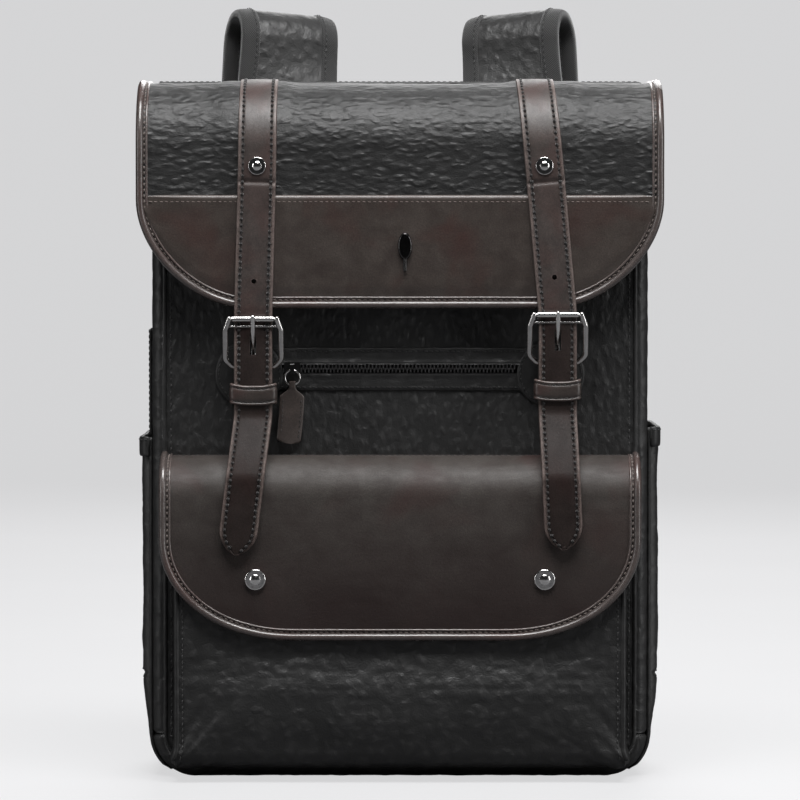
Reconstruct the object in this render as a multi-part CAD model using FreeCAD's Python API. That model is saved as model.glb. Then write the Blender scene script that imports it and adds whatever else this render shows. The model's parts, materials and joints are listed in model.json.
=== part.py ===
"""Leather backpack: a main flap, two buckled closing straps, a lower box pocket and padded shoulder straps.

Millimetres. Origin: centre of the main body's footprint, on the floor. +X is to the right seen from the
front, the front faces -Y, +Z is up. Every sub-part is written as its own STEP file.
"""
import FreeCAD
import Part
import math
import os

from FreeCAD import Rotation, Vector

# Main body
BODY_HALF = 150.0          # half width of the body
BODY_FRONT = -55.0         # outer face of the front panel
BODY_BACK = 55.0           # outer face of the back panel
RIM_Z = 392.0              # top of the front and side panels
BACK_Z = 417.5             # top of the back panel
WALL = 3.0                 # leather with its stiffener
GAP = 0.2                  # clearance between sewn neighbours
CORNER = 26.0              # radius of the body's bottom corners
CORNER_PULL = (0.45, 0.45)  # control points that make those corners nearly round

# Main flap
FLAP_HALF = 158.0
FLAP_TOP = 422.0           # outer face of the top
FLAP_FRONT = -72.0         # outer face of the front
FLAP_BACK_EDGE = 49.0
FLAP_BOTTOM = 285.0
FLAP_CORNER = (68.0, 65.0)  # width and height of the rounded corner
FLAP_PULL = (0.51, 0.5)     # how far the corner's control points reach, across and down
FLAP_SEAM_Z = 352.0        # joint between the black and brown panels
FLAP_LEATHER = 1.8
LINING = 1.0
SHOULDER = 40.0            # radius of the bend from top to front
BINDING = 6.5              # width of the rolled edge
BINDING_PROUD = 1.2

# Lower pocket
POCKET_HALF = 135.0
POCKET_FRONT = -83.0
POCKET_BOTTOM = 8.0
POCKET_TOP = 180.0
POCKET_WALL = 2.0
PFLAP_HALF = 144.0
PFLAP_TOP = 196.0
PFLAP_FRONT = -87.0
PFLAP_BOTTOM = 86.5
PFLAP_CORNER = (82.0, 60.0)
PFLAP_PULL = (0.35, 0.5)
PFLAP_BEND = 24.0          # radius of the bend from top to front
PFLAP_LEATHER = 2.0
SNAP_X = 86.5
SNAP_Z = 123.0
SNAP_RADIUS = 6.3

# Closing straps
STRAP_WIDTH = 23.0
STRAP = 2.6                # thickness
RIVET_Z = 370.0
RIVET_RADIUS = 5.4
HEEL_DROP = 28.5           # roller axis to heel bar axis
ROLLER_Z = {"left": 278.5, "right": 281.0}
STRAP_TOP_X = {"left": -85.0, "right": 81.0}
RIVET_X = {"left": -85.5, "right": 86.4}
BUCKLE_X = {"left": -88.0, "right": 94.5}
TIP_X = {"left": -98.0, "right": 98.0}
TIP_Z = {"left": 138.0, "right": 141.0}
ROLLER_Y = -77.6
HEEL_Y = -69.5
WIRE = 1.8                 # radius of the buckle frame's wire
PIN = 1.15                 # radius of the top bar inside the roller tube
ROLLER = 1.75              # outer radius of the roller tube
RUN = 0.06                 # running clearance
FRAME_HALF = 18.5
FRAME_TOP_CUT = (2.4, 7.0)   # how far the frame's upper corners are cut, across and down
FRAME_LOW_CUT = 4.2
FRAME_BENDS = [4.0, 4.0, 3.0]
INNER_BAR = 0.75           # radius of the bar below the roller
INNER_BAR_DROP = 4.6
LOOP_RADIUS = 3.6          # outside of the leather folded round the heel bar
LOOP_CLEAR = 0.6           # strap to the loop and to the roller
KEEPER_HEIGHT = 12.0
KEEPER_DROP = 17.0         # heel bar axis to keeper centre
END_DROP = 30.0            # heel bar axis to where the free end flexes
FREE_Y = -90.6             # middle of the strap where it lies on the pocket flap

# Shoulder straps, in their own plane before they are splayed outwards
PAD_HALF = 31.5
PAD = 8.0
PAD_X = 64.6
PAD_BACK = 5.5             # how far the splayed strap stands back from its own plane
PAD_PATH = [(67.5, 376.0), (79.0, 464.0), (113.6, 464.0), (96.0, 300.0), (84.0, 150.0)]
PAD_BENDS = [17.0, 17.0, 90.0]
CROWN_Y = 94.0
SPLAY = 20.0               # degrees about an upright line at SPLAY_Y
SPLAY_Y = 64.0
LEAN = 5.0                 # degrees about a level line at LEAN_Z
LEAN_Z = 460.0
WEB_HALF = 12.5
WEB = 1.6
WEB_FOOT = (124.0, 60.5, 34.0)
ADJUSTER_AT = 30.0         # up the webbing

# Back
PADDING = 12.0             # thickness of the back padding
PADDING_LOW = 26.0
PADDING_TOP = 332.0
CHANNEL_Z = (136.0, 236.0)  # sewn channels across the padding
YOKE_HALF = 124.0
YOKE_Z = (370.0, 400.0)
HANDLE_Y = 63.2
HANDLE_Z = 390.0
HANDLE_HALF = 27.0
HANDLE_DROP = 46.0
HANDLE_BEND = 16.0
HANDLE_RADIUS = 4.6

# Side pockets
SIDE_POCKET_TOP = {"left": 206.0, "right": 212.0}
SIDE_POCKET_PROUD = 6.6
SIDE_POCKET_WALL = 1.5
SIDE_POCKET_BACK_WALL = 0.8
SIDE_POCKET_Y = (-48.0, 42.0)
PLACKET_TOP = 272.0
PLACKET_Y = (-44.0, -26.0)

# Hidden snaps
PATCH_X = (-91.0, 91.0)
PATCH_Z = 245.0
PATCH_RADIUS = 20.5
PATCH_FRONT = BODY_FRONT - GAP - 1.6
MAGNET_Z = 252.5
MAGNET_RADIUS = 6.0
MAGNET = 2.0               # thickness of a magnet
CHAPE_BACK = -61.6

# Front zip
ZIP_Z = 248.0
ZIP_HALF = 72.0
ZIP_WINDOW = 4.5           # half the height of the slot in the front panel
TAPE_HALF = 13.0
TAPE_END = 8.0             # tape past the slot's ends
TAPE = 0.8
TOOTH_PITCH = 2.2
SLIDER_X = -65.0
SLIDER_FRONT = -56.6
RING_RADIUS = 4.5
RING_WIRE = 0.7
RING_Y = -58.3
RING_TOP = ZIP_Z - 0.8
RING_LOW = RING_TOP - 2 * RING_RADIUS
TAB_HALF = 7.5
TAB_BOTTOM = 203.0

# Drawcord
CORD_X = 12.0
CORD_Z = 385.0
CORD_RADIUS = 1.4
LOCK_Y = -62.5
LOCK_Z = 366.0
LOCK_CORD_X = 2.2

# Lining
LINING_SIDE = 146.0
LINING_FRONT = -46.5
LINING_BACK = 51.5
LINING_FLOOR = 6.5
LINING_WALL = 0.8
LINING_DROP = 16.0         # rim of the bag to the lining's top edge

# Badge
BADGE_X = 3.0
BADGE_Z = 322.0
BADGE_HALF_WIDE = 4.3
BADGE_HALF_TALL = 8.2
BADGE_PROUD = 2.4

SIDES = {"left": -1.0, "right": 1.0}
FAR = 400.0                # past every part


def block(low, high):
    """A box from its two corners."""
    size = [b - a for a, b in zip(low, high)]
    return Part.makeBox(size[0], size[1], size[2], Vector(*low))


def rod(start, along, radius, length):
    return Part.makeCylinder(radius, length, Vector(*start), Vector(*along))


def mirrored(shape):
    return shape.mirror(Vector(0, 0, 0), Vector(1, 0, 0))


def on_side(shape, name):
    """A right-hand shape, mirrored for the left side."""
    return shape if SIDES[name] > 0 else mirrored(shape)


def fuse(shapes):
    joined = shapes[0]
    for shape in shapes[1:]:
        joined = joined.fuse(shape)
    return joined.removeSplitter()


def softened(shape, radius, pick):
    """The shape with the picked edges rounded."""
    return shape.makeFillet(radius, [e for e in shape.Edges if pick(e)])


def path_edges(points, bends, shift, place):
    """Edges of a path with rounded corners, moved sideways to its left by shift."""
    flat = [Vector(a, b, 0) for a, b in points]
    ways = [(q - p).normalize() for p, q in zip(flat, flat[1:])]
    sides = [Vector(-w.y, w.x, 0) for w in ways]
    turns = [math.atan2(v.cross(w).z, v.dot(w)) for v, w in zip(ways, ways[1:])]
    cuts = [0.0] + [r * math.tan(abs(t) / 2) for r, t in zip(bends, turns)] + [0.0]
    edges = []
    for i, way in enumerate(ways):
        begin = flat[i] + way * cuts[i] + sides[i] * shift
        end = flat[i + 1] - way * cuts[i + 1] + sides[i] * shift
        if edges:
            hand = math.copysign(1.0, turns[i - 1])
            corner = flat[i] - ways[i - 1] * cuts[i] + sides[i - 1] * hand * bends[i - 1]
            middle = corner + (flat[i] - corner).normalize() * (bends[i - 1] - hand * shift)
            edges.append(Part.Arc(last, place(middle), place(begin)).toShape())
        if (end - begin).Length > 1e-6:
            edges.append(Part.LineSegment(place(begin), place(end)).toShape())
        last = place(end)
    return edges, edges[0].firstVertex().Point, last


def sheet(points, bends, shifts, start, length, plane="side"):
    """A bent sheet: the strip between two sideways shifts of a path, pulled straight across its plane.

    In the side plane the path is (y, z) and the sheet runs along X; in the front plane it is (x, z) and
    the sheet runs along Y.
    """
    if plane == "side":
        place, pull = (lambda v: Vector(start, v.x, v.y)), Vector(length, 0, 0)
    else:
        place, pull = (lambda v: Vector(v.x, start, v.y)), Vector(0, length, 0)
    first, first_begin, first_end = path_edges(points, bends, shifts[0], place)
    second, second_begin, second_end = path_edges(points, bends, shifts[1], place)
    across = ((first_begin, second_begin), (first_end, second_end))
    caps = [Part.LineSegment(p, q).toShape() for p, q in across]
    wire = Part.Wire(Part.__sortEdges__(first + second + caps))
    return Part.Face(wire).extrude(pull)


def bib(half, top, bottom, corner, pull):
    """A deep bar with a flap's front outline: straight sides, swept lower corners, flat bottom."""
    wide, tall = corner
    right = [Vector(half, 0, bottom + tall), Vector(half, 0, bottom + tall * pull[1])]
    right += [Vector(half - wide * pull[0], 0, bottom), Vector(half - wide, 0, bottom)]
    left = [Vector(-v.x, 0, v.z) for v in reversed(right)]
    curves = []
    for poles in (right, left):
        curve = Part.BezierCurve()
        curve.setPoles(poles)
        curves.append(curve.toShape())
    corners = [left[-1], Vector(-half, 0, top), Vector(half, 0, top), right[0]]
    lines = [Part.LineSegment(a, b).toShape() for a, b in zip(corners, corners[1:])]
    lines.append(Part.LineSegment(right[-1], left[0]).toShape())
    wire = Part.Wire(Part.__sortEdges__(curves + lines))
    face = Part.Face(wire)
    face.translate(Vector(0, -FAR, 0))
    return face.extrude(Vector(0, 2 * FAR, 0))


def prism(outline, low, high):
    """An (x, z) polygon pulled from y low to y high."""
    points = [Vector(x, low, z) for x, z in outline]
    face = Part.Face(Part.makePolygon(points + points[:1]))
    return face.extrude(Vector(0, high - low, 0))


def disc(x, z, front, back, radius):
    """A round plate facing the front, between two depths."""
    return rod((x, front, z), (0, 1, 0), radius, back - front)


# ---------------------------------------------------------------- body

def round_panel(front, back, top):
    """Front or back panel: flat, with rounded bottom corners."""
    off_floor = 0.5
    outline = bib(BODY_HALF, top, off_floor, (CORNER, CORNER), CORNER_PULL)
    return outline.common(block((-FAR, front, 0), (FAR, back, FAR * 2)))


def front_panel():
    panel = round_panel(BODY_FRONT, BODY_FRONT + WALL, RIM_Z)
    window = block((-ZIP_HALF, -FAR, ZIP_Z - ZIP_WINDOW), (ZIP_HALF, FAR, ZIP_Z + ZIP_WINDOW))
    return panel.cut(window)


def back_panel():
    return round_panel(BODY_BACK - WALL, BODY_BACK, BACK_Z)


def gusset(name):
    near, far = BODY_HALF - WALL, BODY_HALF
    panel = block((near, BODY_FRONT + WALL + GAP, CORNER + 1), (far, BODY_BACK - WALL - GAP, RIM_Z))
    return on_side(panel, name)


def base_panel():
    """The base turns up at both ends to meet the side gussets."""
    half, turn_up = BODY_HALF, CORNER + 0.7
    path = [(-half, turn_up), (-half, 0.0), (half, 0.0), (half, turn_up)]
    depth = BODY_BACK - BODY_FRONT - 2 * (WALL + GAP)
    return sheet(path, [CORNER, CORNER], (0, WALL), BODY_FRONT + WALL + GAP, depth, "front")


def hollow_box(low, high, wall):
    """A box open at the top."""
    inner_low = [c + wall for c in low]
    inner_high = [high[0] - wall, high[1] - wall, high[2] + FAR]
    return block(low, high).cut(block(inner_low, inner_high))


def lining():
    """Fabric bag inside the body, with the body's rounded lower corners."""
    low = (-LINING_SIDE, LINING_FRONT, LINING_FLOOR)
    shell = hollow_box(low, (LINING_SIDE, LINING_BACK, RIM_Z - LINING_DROP), LINING_WALL)
    keep = bib(LINING_SIDE, FAR * 2, LINING_FLOOR, (CORNER, CORNER), CORNER_PULL)
    return shell.common(keep)


def laptop_divider():
    """Padded sheet in front of the bag's back."""
    half, front, back, low, high = 130, 41, 46, 30, 320
    sheet_block = block((-half, front, low), (half, back, high))
    return softened(sheet_block, 2.0, lambda e: abs(e.Length - (high - low)) < 1)


def rim_hem():
    """A folded strip over the rim of the front and side panels."""
    proud, drop = 1.4, 15.0
    back, over = 51.0, 2.0
    low = (-BODY_HALF - proud, BODY_FRONT - proud, RIM_Z - drop)
    outer = block(low, (BODY_HALF + proud, back, RIM_Z + over))
    fold = 4.9
    inner = block((-BODY_HALF + fold, BODY_FRONT + fold, 0), (BODY_HALF - fold, FAR, FAR * 2))
    slot = block((-BODY_HALF - GAP, BODY_FRONT - GAP, 0), (BODY_HALF + GAP, FAR, RIM_Z + GAP))
    inside = BODY_HALF - WALL - GAP
    slot_in = block((-inside, BODY_FRONT + WALL + GAP, 0), (inside, FAR, RIM_Z + GAP))
    return outer.cut(inner).cut(slot.cut(slot_in))


def eyelets():
    """Two metal rings in the hem that the drawcord comes out of."""
    front, thick, outer, inner = BODY_FRONT - 2.6, 1.0, 4.5, 2.4
    rings = []
    for x in (-CORD_X, CORD_X):
        ring = disc(x, CORD_Z, front, front + thick, outer).cut(disc(x, CORD_Z, -FAR, FAR, inner))
        rings.append(softened(ring, 0.35, lambda e: abs(e.Vertexes[0].Y - front) < 1e-3))
    return Part.makeCompound(rings)


def drawcord():
    """The two ends of the cord, from the eyelets down through the cord lock."""
    start, turn, gather, tail, knot = BODY_FRONT - 2.4, BODY_FRONT - 4.4, LOCK_Z + 12, LOCK_Z - 26, 2.1
    ends = []
    for hand in (-1, 1):
        points = [Vector(hand * CORD_X, start, CORD_Z), Vector(hand * CORD_X, turn, CORD_Z)]
        points += [Vector(hand * LOCK_CORD_X, LOCK_Y, z) for z in (gather, tail)]
        spans = [rod(p, q - p, CORD_RADIUS, (q - p).Length) for p, q in zip(points, points[1:])]
        bends = [Part.makeSphere(CORD_RADIUS, p) for p in points[1:-1]]
        ends.append(fuse(spans + bends + [Part.makeSphere(knot, points[-1])]))
    return Part.makeCompound(ends)


def cord_lock_barrel():
    """Plastic barrel, open at its right end, with a passage for both cords."""
    length, radius, bore, end_wall = 16.0, 5.6, 4.1, 2.5
    barrel = rod((-length / 2, LOCK_Y, LOCK_Z), (1, 0, 0), radius, length)
    barrel = softened(barrel, 1.2, lambda e: abs(e.Vertexes[0].X + length / 2) < 1e-3)
    pocket = rod((-length / 2 + end_wall, LOCK_Y, LOCK_Z), (1, 0, 0), bore, FAR)
    return barrel.cut(pocket).cut(cord_passage())


def cord_passage():
    """Upright slot that clears both cords while the lock's button is pressed in."""
    reach, stroke, half_deep, tall = LOCK_CORD_X + CORD_RADIUS, 3.4, 2.0, 20
    low = (-reach - stroke, LOCK_Y - half_deep, LOCK_Z - tall)
    return block(low, (reach + 0.4, LOCK_Y + half_deep, LOCK_Z + tall))


def cord_lock_button():
    """Push button: a plunger in the barrel with a wider cap outside it."""
    radius, cap_radius, stem_start, cap_start, cap_end = 4.0, 5.4, -2.0, 11.0, 14.0
    stem = rod((stem_start, LOCK_Y, LOCK_Z), (1, 0, 0), radius, cap_start - stem_start)
    cap = rod((cap_start, LOCK_Y, LOCK_Z), (1, 0, 0), cap_radius, cap_end - cap_start)
    cap = softened(cap, 1.0, lambda e: abs(e.Vertexes[0].X - cap_end) < 1e-3)
    half_deep, tall, stroke = 2.0, 20, 4.4
    low = (-LOCK_CORD_X - half_deep, LOCK_Y - half_deep, LOCK_Z - tall)
    slot = block(low, (LOCK_CORD_X + stroke, LOCK_Y + half_deep, LOCK_Z + tall))
    return fuse([stem, cap]).cut(slot)


# ---------------------------------------------------------------- back

def back_padding():
    """Padded back with two sewn channels; its lower corners are cut away for the shoulder webbing."""
    back, foot, wide, notch = BODY_BACK + PADDING, 96.0, 118.0, 84.0
    right = [(foot, PADDING_LOW), (foot, notch), (wide, notch + wide - foot), (wide, PADDING_TOP)]
    outline = right + [(-x, z) for x, z in reversed(right)]
    pad = prism(outline, BODY_BACK + GAP, back)
    pad = softened(pad, 5.0, lambda e: e.BoundBox.YMin > back - 1e-3)
    channel = 5.0
    for z in CHANNEL_Z:
        pad = pad.cut(rod((-FAR, back + 1, z), (1, 0, 0), channel, 2 * FAR))
    return pad


def back_yoke():
    """Leather strip that the shoulder straps are sewn to."""
    return block((-YOKE_HALF, BODY_BACK + GAP, YOKE_Z[0]), (YOKE_HALF, BODY_BACK + 2.2, YOKE_Z[1]))


def splayed(shape, name):
    """Moves a shoulder strap part from its own plane to the left or right side of the bag."""
    shape.rotate(Vector(0, SPLAY_Y, 0), Vector(0, 0, 1), -SPLAY)
    shape.rotate(Vector(0, 0, LEAN_Z), Vector(0, 1, 0), -LEAN)
    shape.translate(Vector(PAD_X, PAD_BACK, 0))
    return on_side(shape, name)


def strap_plan(shape):
    """Narrows a shoulder strap towards its lower end."""
    top, neck, foot = 480.0, 230.0, 140.0
    wide, narrow = PAD_HALF, 21.0
    outline = [(-wide, top), (wide, top), (wide, neck), (narrow, foot), (-narrow, foot), (-wide, neck)]
    return shape.common(prism(outline, 0, FAR))


def strap_arch(name):
    """From the back's top seam up to the crown of the arch."""
    path = [PAD_PATH[0], PAD_PATH[1], (CROWN_Y, PAD_PATH[1][1])]
    arch = sheet(path, PAD_BENDS[:1], (-PAD / 2, PAD / 2), -PAD_HALF, 2 * PAD_HALF)
    return splayed(strap_plan(arch), name)


def strap_pad(name):
    """From the crown down the back to the webbing."""
    crown_gap = 0.4
    path = [(CROWN_Y + crown_gap, PAD_PATH[2][1])] + PAD_PATH[2:]
    pad = sheet(path, PAD_BENDS[1:], (-PAD / 2, PAD / 2), -PAD_HALF, 2 * PAD_HALF)
    return splayed(strap_plan(pad), name)


def splay_point(y, z):
    """Where a point in the middle of the right shoulder strap ends up."""
    return splayed(Part.Vertex(0, y, z), "right").Point


def webbing_line():
    """Foot of the right webbing and its direction up to the pad's end."""
    foot = Vector(*WEB_FOOT)
    head = splay_point(PAD_PATH[-1][0], PAD_PATH[-1][1] - 6)
    return foot, head - foot


def along_webbing(shape, name):
    """Stands a part built upright at the origin on the webbing's line."""
    foot, way = webbing_line()
    shape.Placement = FreeCAD.Placement(foot, Rotation(Vector(0, 0, 1), way))
    return on_side(shape, name)


def webbing(name):
    """Strip from the bottom corner up to the end of the pad."""
    _, way = webbing_line()
    strip = block((-WEB_HALF, -WEB / 2, 0), (WEB_HALF, WEB / 2, way.Length))
    return along_webbing(strip, name)


def strap_adjuster(name):
    """Three-bar slide: end bars behind the webbing, middle bar in front of it."""
    half_wide, half_tall, bar, deep, clear = 16.5, 10.0, 3.2, 2.24, 0.5
    behind, front = WEB / 2 + clear, -WEB / 2 - clear
    z = ADJUSTER_AT
    cheek = block((WEB_HALF + 0.8, front - deep, z - half_tall), (half_wide, behind + deep, z + half_tall))
    cheeks = [cheek, mirrored(cheek)]
    ends = [block((-half_wide, behind, z + e), (half_wide, behind + deep, z + e + bar))
            for e in (-half_tall, half_tall - bar)]
    middle = block((-half_wide, front - deep, z - bar / 2), (half_wide, front, z + bar / 2))
    return along_webbing(fuse(cheeks + ends + [middle]), name)


def webbing_tabs():
    """Leather triangles at the bottom corners that the webbing is sewn to."""
    outline = [(100, 10), (130, 10), (136, 32), (112, 32)]
    tab = prism(outline, BODY_BACK + GAP, BODY_BACK + 2.6).cut(back_padding())
    return Part.makeCompound([on_side(tab, name) for name in SIDES])


def carry_handle():
    """Padded loop that hangs behind the back's top seam, between the shoulder straps."""
    low = HANDLE_Z - HANDLE_DROP
    place = (lambda v: Vector(v.x, HANDLE_Y, v.y))
    points = [(-HANDLE_HALF, HANDLE_Z), (-HANDLE_HALF, low), (HANDLE_HALF, low), (HANDLE_HALF, HANDLE_Z)]
    edges, begin, end = path_edges(points, [HANDLE_BEND, HANDLE_BEND], 0.0, place)
    circle = Part.Wire(Part.makeCircle(HANDLE_RADIUS, begin, Vector(0, 0, 1)))
    return Part.Wire(edges).makePipeShell([circle], True, True)


# ---------------------------------------------------------------- side pockets, lower pocket, front zip

def side_pocket(name):
    """Flat open pocket on the gusset."""
    low, wall = CORNER + 1, SIDE_POCKET_WALL
    front, back = SIDE_POCKET_Y
    near, far = BODY_HALF + GAP, BODY_HALF + SIDE_POCKET_PROUD
    shell = block((near, front, low), (far, back, SIDE_POCKET_TOP[name]))
    inside = (near + SIDE_POCKET_BACK_WALL, front + wall, low + wall)
    shell = shell.cut(block(inside, (far - wall, back - wall, FAR)))
    return on_side(shell, name)


def side_placket():
    """Narrow strip that runs down the left gusset into the side pocket."""
    low = (-BODY_HALF - 2.2, PLACKET_Y[0], SIDE_POCKET_TOP["left"] + 1)
    return block(low, (-BODY_HALF - GAP, PLACKET_Y[1], PLACKET_TOP))


def lower_pocket():
    low = (-POCKET_HALF, POCKET_FRONT, POCKET_BOTTOM)
    high = (POCKET_HALF, BODY_FRONT - GAP, POCKET_TOP)
    return hollow_box(low, high, POCKET_WALL)


def pocket_flap_sheet(shifts):
    """The pocket flap's bent leather, before it is cut to its outline."""
    path = [(BODY_FRONT - 0.6, PFLAP_TOP), (PFLAP_FRONT, PFLAP_TOP), (PFLAP_FRONT, PFLAP_BOTTOM - 5)]
    return sheet(path, [PFLAP_BEND], shifts, -PFLAP_HALF, 2 * PFLAP_HALF)


def pocket_flap_outline(inset):
    corner = (PFLAP_CORNER[0], PFLAP_CORNER[1] - inset * 0.3)
    return bib(PFLAP_HALF - inset, FAR, PFLAP_BOTTOM + inset, corner, PFLAP_PULL)


def pocket_flap():
    return pocket_flap_sheet((0, PFLAP_LEATHER)).common(pocket_flap_outline(BINDING + GAP))


def pocket_flap_binding():
    rim = pocket_flap_outline(0).cut(pocket_flap_outline(BINDING))
    return pocket_flap_sheet((-BINDING_PROUD, PFLAP_LEATHER)).common(rim)


def rimmed_cap(x, z, back, radius, height):
    """Metal cap that faces the front: a rounded rim round a low dome."""
    rim = softened(disc(x, z, back - height * 0.6, back, radius), height * 0.28,
                   lambda e: e.BoundBox.YMax < back - height * 0.5)
    inner = radius * 0.72
    ball = (inner ** 2 + height ** 2) / (2 * height)
    dome = Part.makeSphere(ball, Vector(x, back - height + ball, z))
    return fuse([rim, dome.common(disc(x, z, back - FAR, back, inner))])


def snap_caps():
    """Metal caps on the pocket flap."""
    back, height = PFLAP_FRONT - GAP, 2.6
    return Part.makeCompound([rimmed_cap(x, SNAP_Z, back, SNAP_RADIUS, height) for x in (-SNAP_X, SNAP_X)])


def magnet_discs():
    """Metal halves of the hidden snaps: two on the front patches, two on the lower pocket."""
    back, thin = PATCH_FRONT - GAP, 1.4
    discs = [disc(x, MAGNET_Z, back - MAGNET, back, MAGNET_RADIUS) for x in BUCKLE_X.values()]
    back = POCKET_FRONT - GAP
    discs += [disc(x, SNAP_Z, back - thin, back, SNAP_RADIUS) for x in (-SNAP_X, SNAP_X)]
    return Part.makeCompound(discs)


def anchor_patches():
    """Round leather patches that back the hidden snaps."""
    discs = [disc(x, PATCH_Z, PATCH_FRONT, BODY_FRONT - GAP, PATCH_RADIUS) for x in PATCH_X]
    return Part.makeCompound(discs)


def zip_tape():
    """Woven tape behind the slot in the front panel."""
    half, front = ZIP_HALF + TAPE_END, BODY_FRONT + WALL + GAP
    return block((-half, front, ZIP_Z - TAPE_HALF), (half, front + TAPE, ZIP_Z + TAPE_HALF))


def zip_teeth():
    """Interlocked metal teeth, one row from each side."""
    length, tall, deep, lap = 1.5, 2.9, 1.6, 0.5
    front = BODY_FRONT + WALL - deep
    start = -ZIP_HALF + 1.0
    count = int(-2 * start / TOOTH_PITCH) * 2
    teeth = []
    for i in range(count):
        x = start + i * TOOTH_PITCH / 2
        low = ZIP_Z - lap if i % 2 else ZIP_Z - tall + lap
        width = length * 0.62
        teeth.append(block((x, front, low), (x + width, front + deep, low + tall)))
    return Part.makeCompound(teeth)


def zip_slider():
    """Slider plate in front of the teeth, with an upright bridge that the ring hangs from."""
    half_long, half_tall, leg, half_bridge, reach = 5.0, 4.0, 1.0, 1.2, 3.4
    back = BODY_FRONT + WALL - 1.6 - GAP
    low = (SLIDER_X - half_long, SLIDER_FRONT, ZIP_Z - half_tall)
    plate = block(low, (SLIDER_X + half_long, back, ZIP_Z + half_tall))
    thick = back - SLIDER_FRONT
    plate = softened(plate, 1.4, lambda e: abs(e.Length - thick) < 1e-6)
    front = RING_Y - 2.0
    low = (SLIDER_X - half_bridge, front, ZIP_Z - reach)
    arch = block(low, (SLIDER_X + half_bridge, SLIDER_FRONT + 0.5, ZIP_Z + reach))
    arch = softened(arch, 1.2, lambda e: e.BoundBox.YMax < front + 1e-3 and e.BoundBox.XLength > 1)
    opening = block((-FAR, front + leg, ZIP_Z - reach + leg), (FAR, SLIDER_FRONT, ZIP_Z + reach - leg))
    return fuse([plate, arch.cut(opening)])


def zip_ring():
    """Wire ring that links the slider to its leather tab; it lies flat against the bag."""
    centre = Vector(SLIDER_X, RING_Y, RING_TOP - RING_RADIUS)
    return Part.makeTorus(RING_RADIUS, RING_WIRE, centre, Vector(0, 1, 0))


def zip_pull_tab():
    """Leather tab whose narrow neck is folded round the bottom of the ring."""
    half_thick, neck_half, shoulder = 1.8, 2.4, RING_LOW - 4.5
    front, back = RING_Y - half_thick, RING_Y + half_thick
    tab = block((SLIDER_X - TAB_HALF, front, TAB_BOTTOM), (SLIDER_X + TAB_HALF, back, shoulder))
    tab = softened(tab, 3.0, lambda e: abs(e.Length - (back - front)) < 1e-6)
    neck = block((SLIDER_X - neck_half, front, shoulder - 1), (SLIDER_X + neck_half, back, RING_LOW + 2.2))
    channel = rod((-FAR, RING_Y, RING_LOW + 0.3), (1, 0, 0), 1.45, 2 * FAR)
    return fuse([tab, neck]).cut(channel)


# ---------------------------------------------------------------- main flap

def flap_sheet(shifts):
    """The main flap's bent leather, before it is cut to its outline."""
    path = [(FLAP_BACK_EDGE, FLAP_TOP), (FLAP_FRONT, FLAP_TOP), (FLAP_FRONT, FLAP_BOTTOM - 5)]
    return sheet(path, [SHOULDER], shifts, -FLAP_HALF, 2 * FLAP_HALF)


def flap_outline(inset):
    corner = (FLAP_CORNER[0], FLAP_CORNER[1] - inset * 0.4)
    return bib(FLAP_HALF - inset, FAR * 2, FLAP_BOTTOM + inset, corner, FLAP_PULL)


def flap_panel(above):
    """The flap's leather above or below the cross seam."""
    low, high = (FLAP_SEAM_Z + GAP, FAR * 2) if above else (0, FLAP_SEAM_Z)
    band = block((-FAR, -FAR, low), (FAR, FAR, high))
    return flap_sheet((0, FLAP_LEATHER)).common(flap_outline(BINDING + GAP)).common(band)


def flap_lining():
    start = FLAP_LEATHER + GAP
    return flap_sheet((start, start + LINING)).common(flap_outline(BINDING + GAP))


def flap_binding():
    rim = flap_outline(0).cut(flap_outline(BINDING))
    return flap_sheet((-BINDING_PROUD, FLAP_LEATHER + GAP + LINING)).common(rim)


def flap_badge():
    """Small plain oval stud with a short stem below it."""
    back, front = FLAP_FRONT - GAP, FLAP_FRONT - GAP - BADGE_PROUD
    ellipse = Part.Ellipse(Vector(0, 0, 0), BADGE_HALF_TALL, BADGE_HALF_WIDE).toShape()
    face = Part.Face(Part.Wire(ellipse))
    face.rotate(Vector(0, 0, 0), Vector(0, 0, 1), 90)
    face.rotate(Vector(0, 0, 0), Vector(1, 0, 0), 90)
    face.translate(Vector(BADGE_X, back, BADGE_Z))
    oval = face.extrude(Vector(0, -BADGE_PROUD, 0))
    oval = softened(oval, 1.4, lambda e: e.BoundBox.YMax < front + 1e-3)
    foot, stem_radius, stem_long = BADGE_Z - BADGE_HALF_TALL, 1.1, 8.5
    stem = rod((BADGE_X, back - 1.2, foot + 1.5), (0, 0, -1), stem_radius, stem_long)
    stem = softened(stem, 0.6, lambda e: e.BoundBox.ZMax < foot - 5)
    return fuse([oval, stem])


# ---------------------------------------------------------------- closing straps

def strap_middle(name):
    """(x, z) points down the middle of a closing strap, from the top of the flap to the tip."""
    heel = ROLLER_Z[name] - HEEL_DROP
    return [(STRAP_TOP_X[name], FLAP_TOP + 4), (RIVET_X[name], RIVET_Z), (BUCKLE_X[name], ROLLER_Z[name]),
            (BUCKLE_X[name], heel - END_DROP), (TIP_X[name], TIP_Z[name])]


def strap_outline(name, top, bottom):
    """The strap's outline from the front between two heights, with a pointed tip if it reaches that far."""
    half, point = STRAP_WIDTH / 2, 13.0
    *centre, end = strap_middle(name)
    tip, last = Vector(end[0], 0, end[1]), Vector(centre[-1][0], 0, centre[-1][1])
    way = (tip - last).normalize()
    across = Vector(way.z, 0, -way.x) * half
    shoulder = tip - way * point
    edges = []
    for hand in (1, -1):
        corner = shoulder + across * hand
        line = [(centre[0][0] - half * hand, FAR * 2)] + [(x - half * hand, z) for x, z in centre]
        edges.append(line + [(corner.x, corner.z)])
    outline = edges[0] + [end] + edges[1][::-1]
    return prism(outline, -FAR, FAR).common(block((-FAR, -FAR, bottom), (FAR, FAR, top)))


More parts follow.
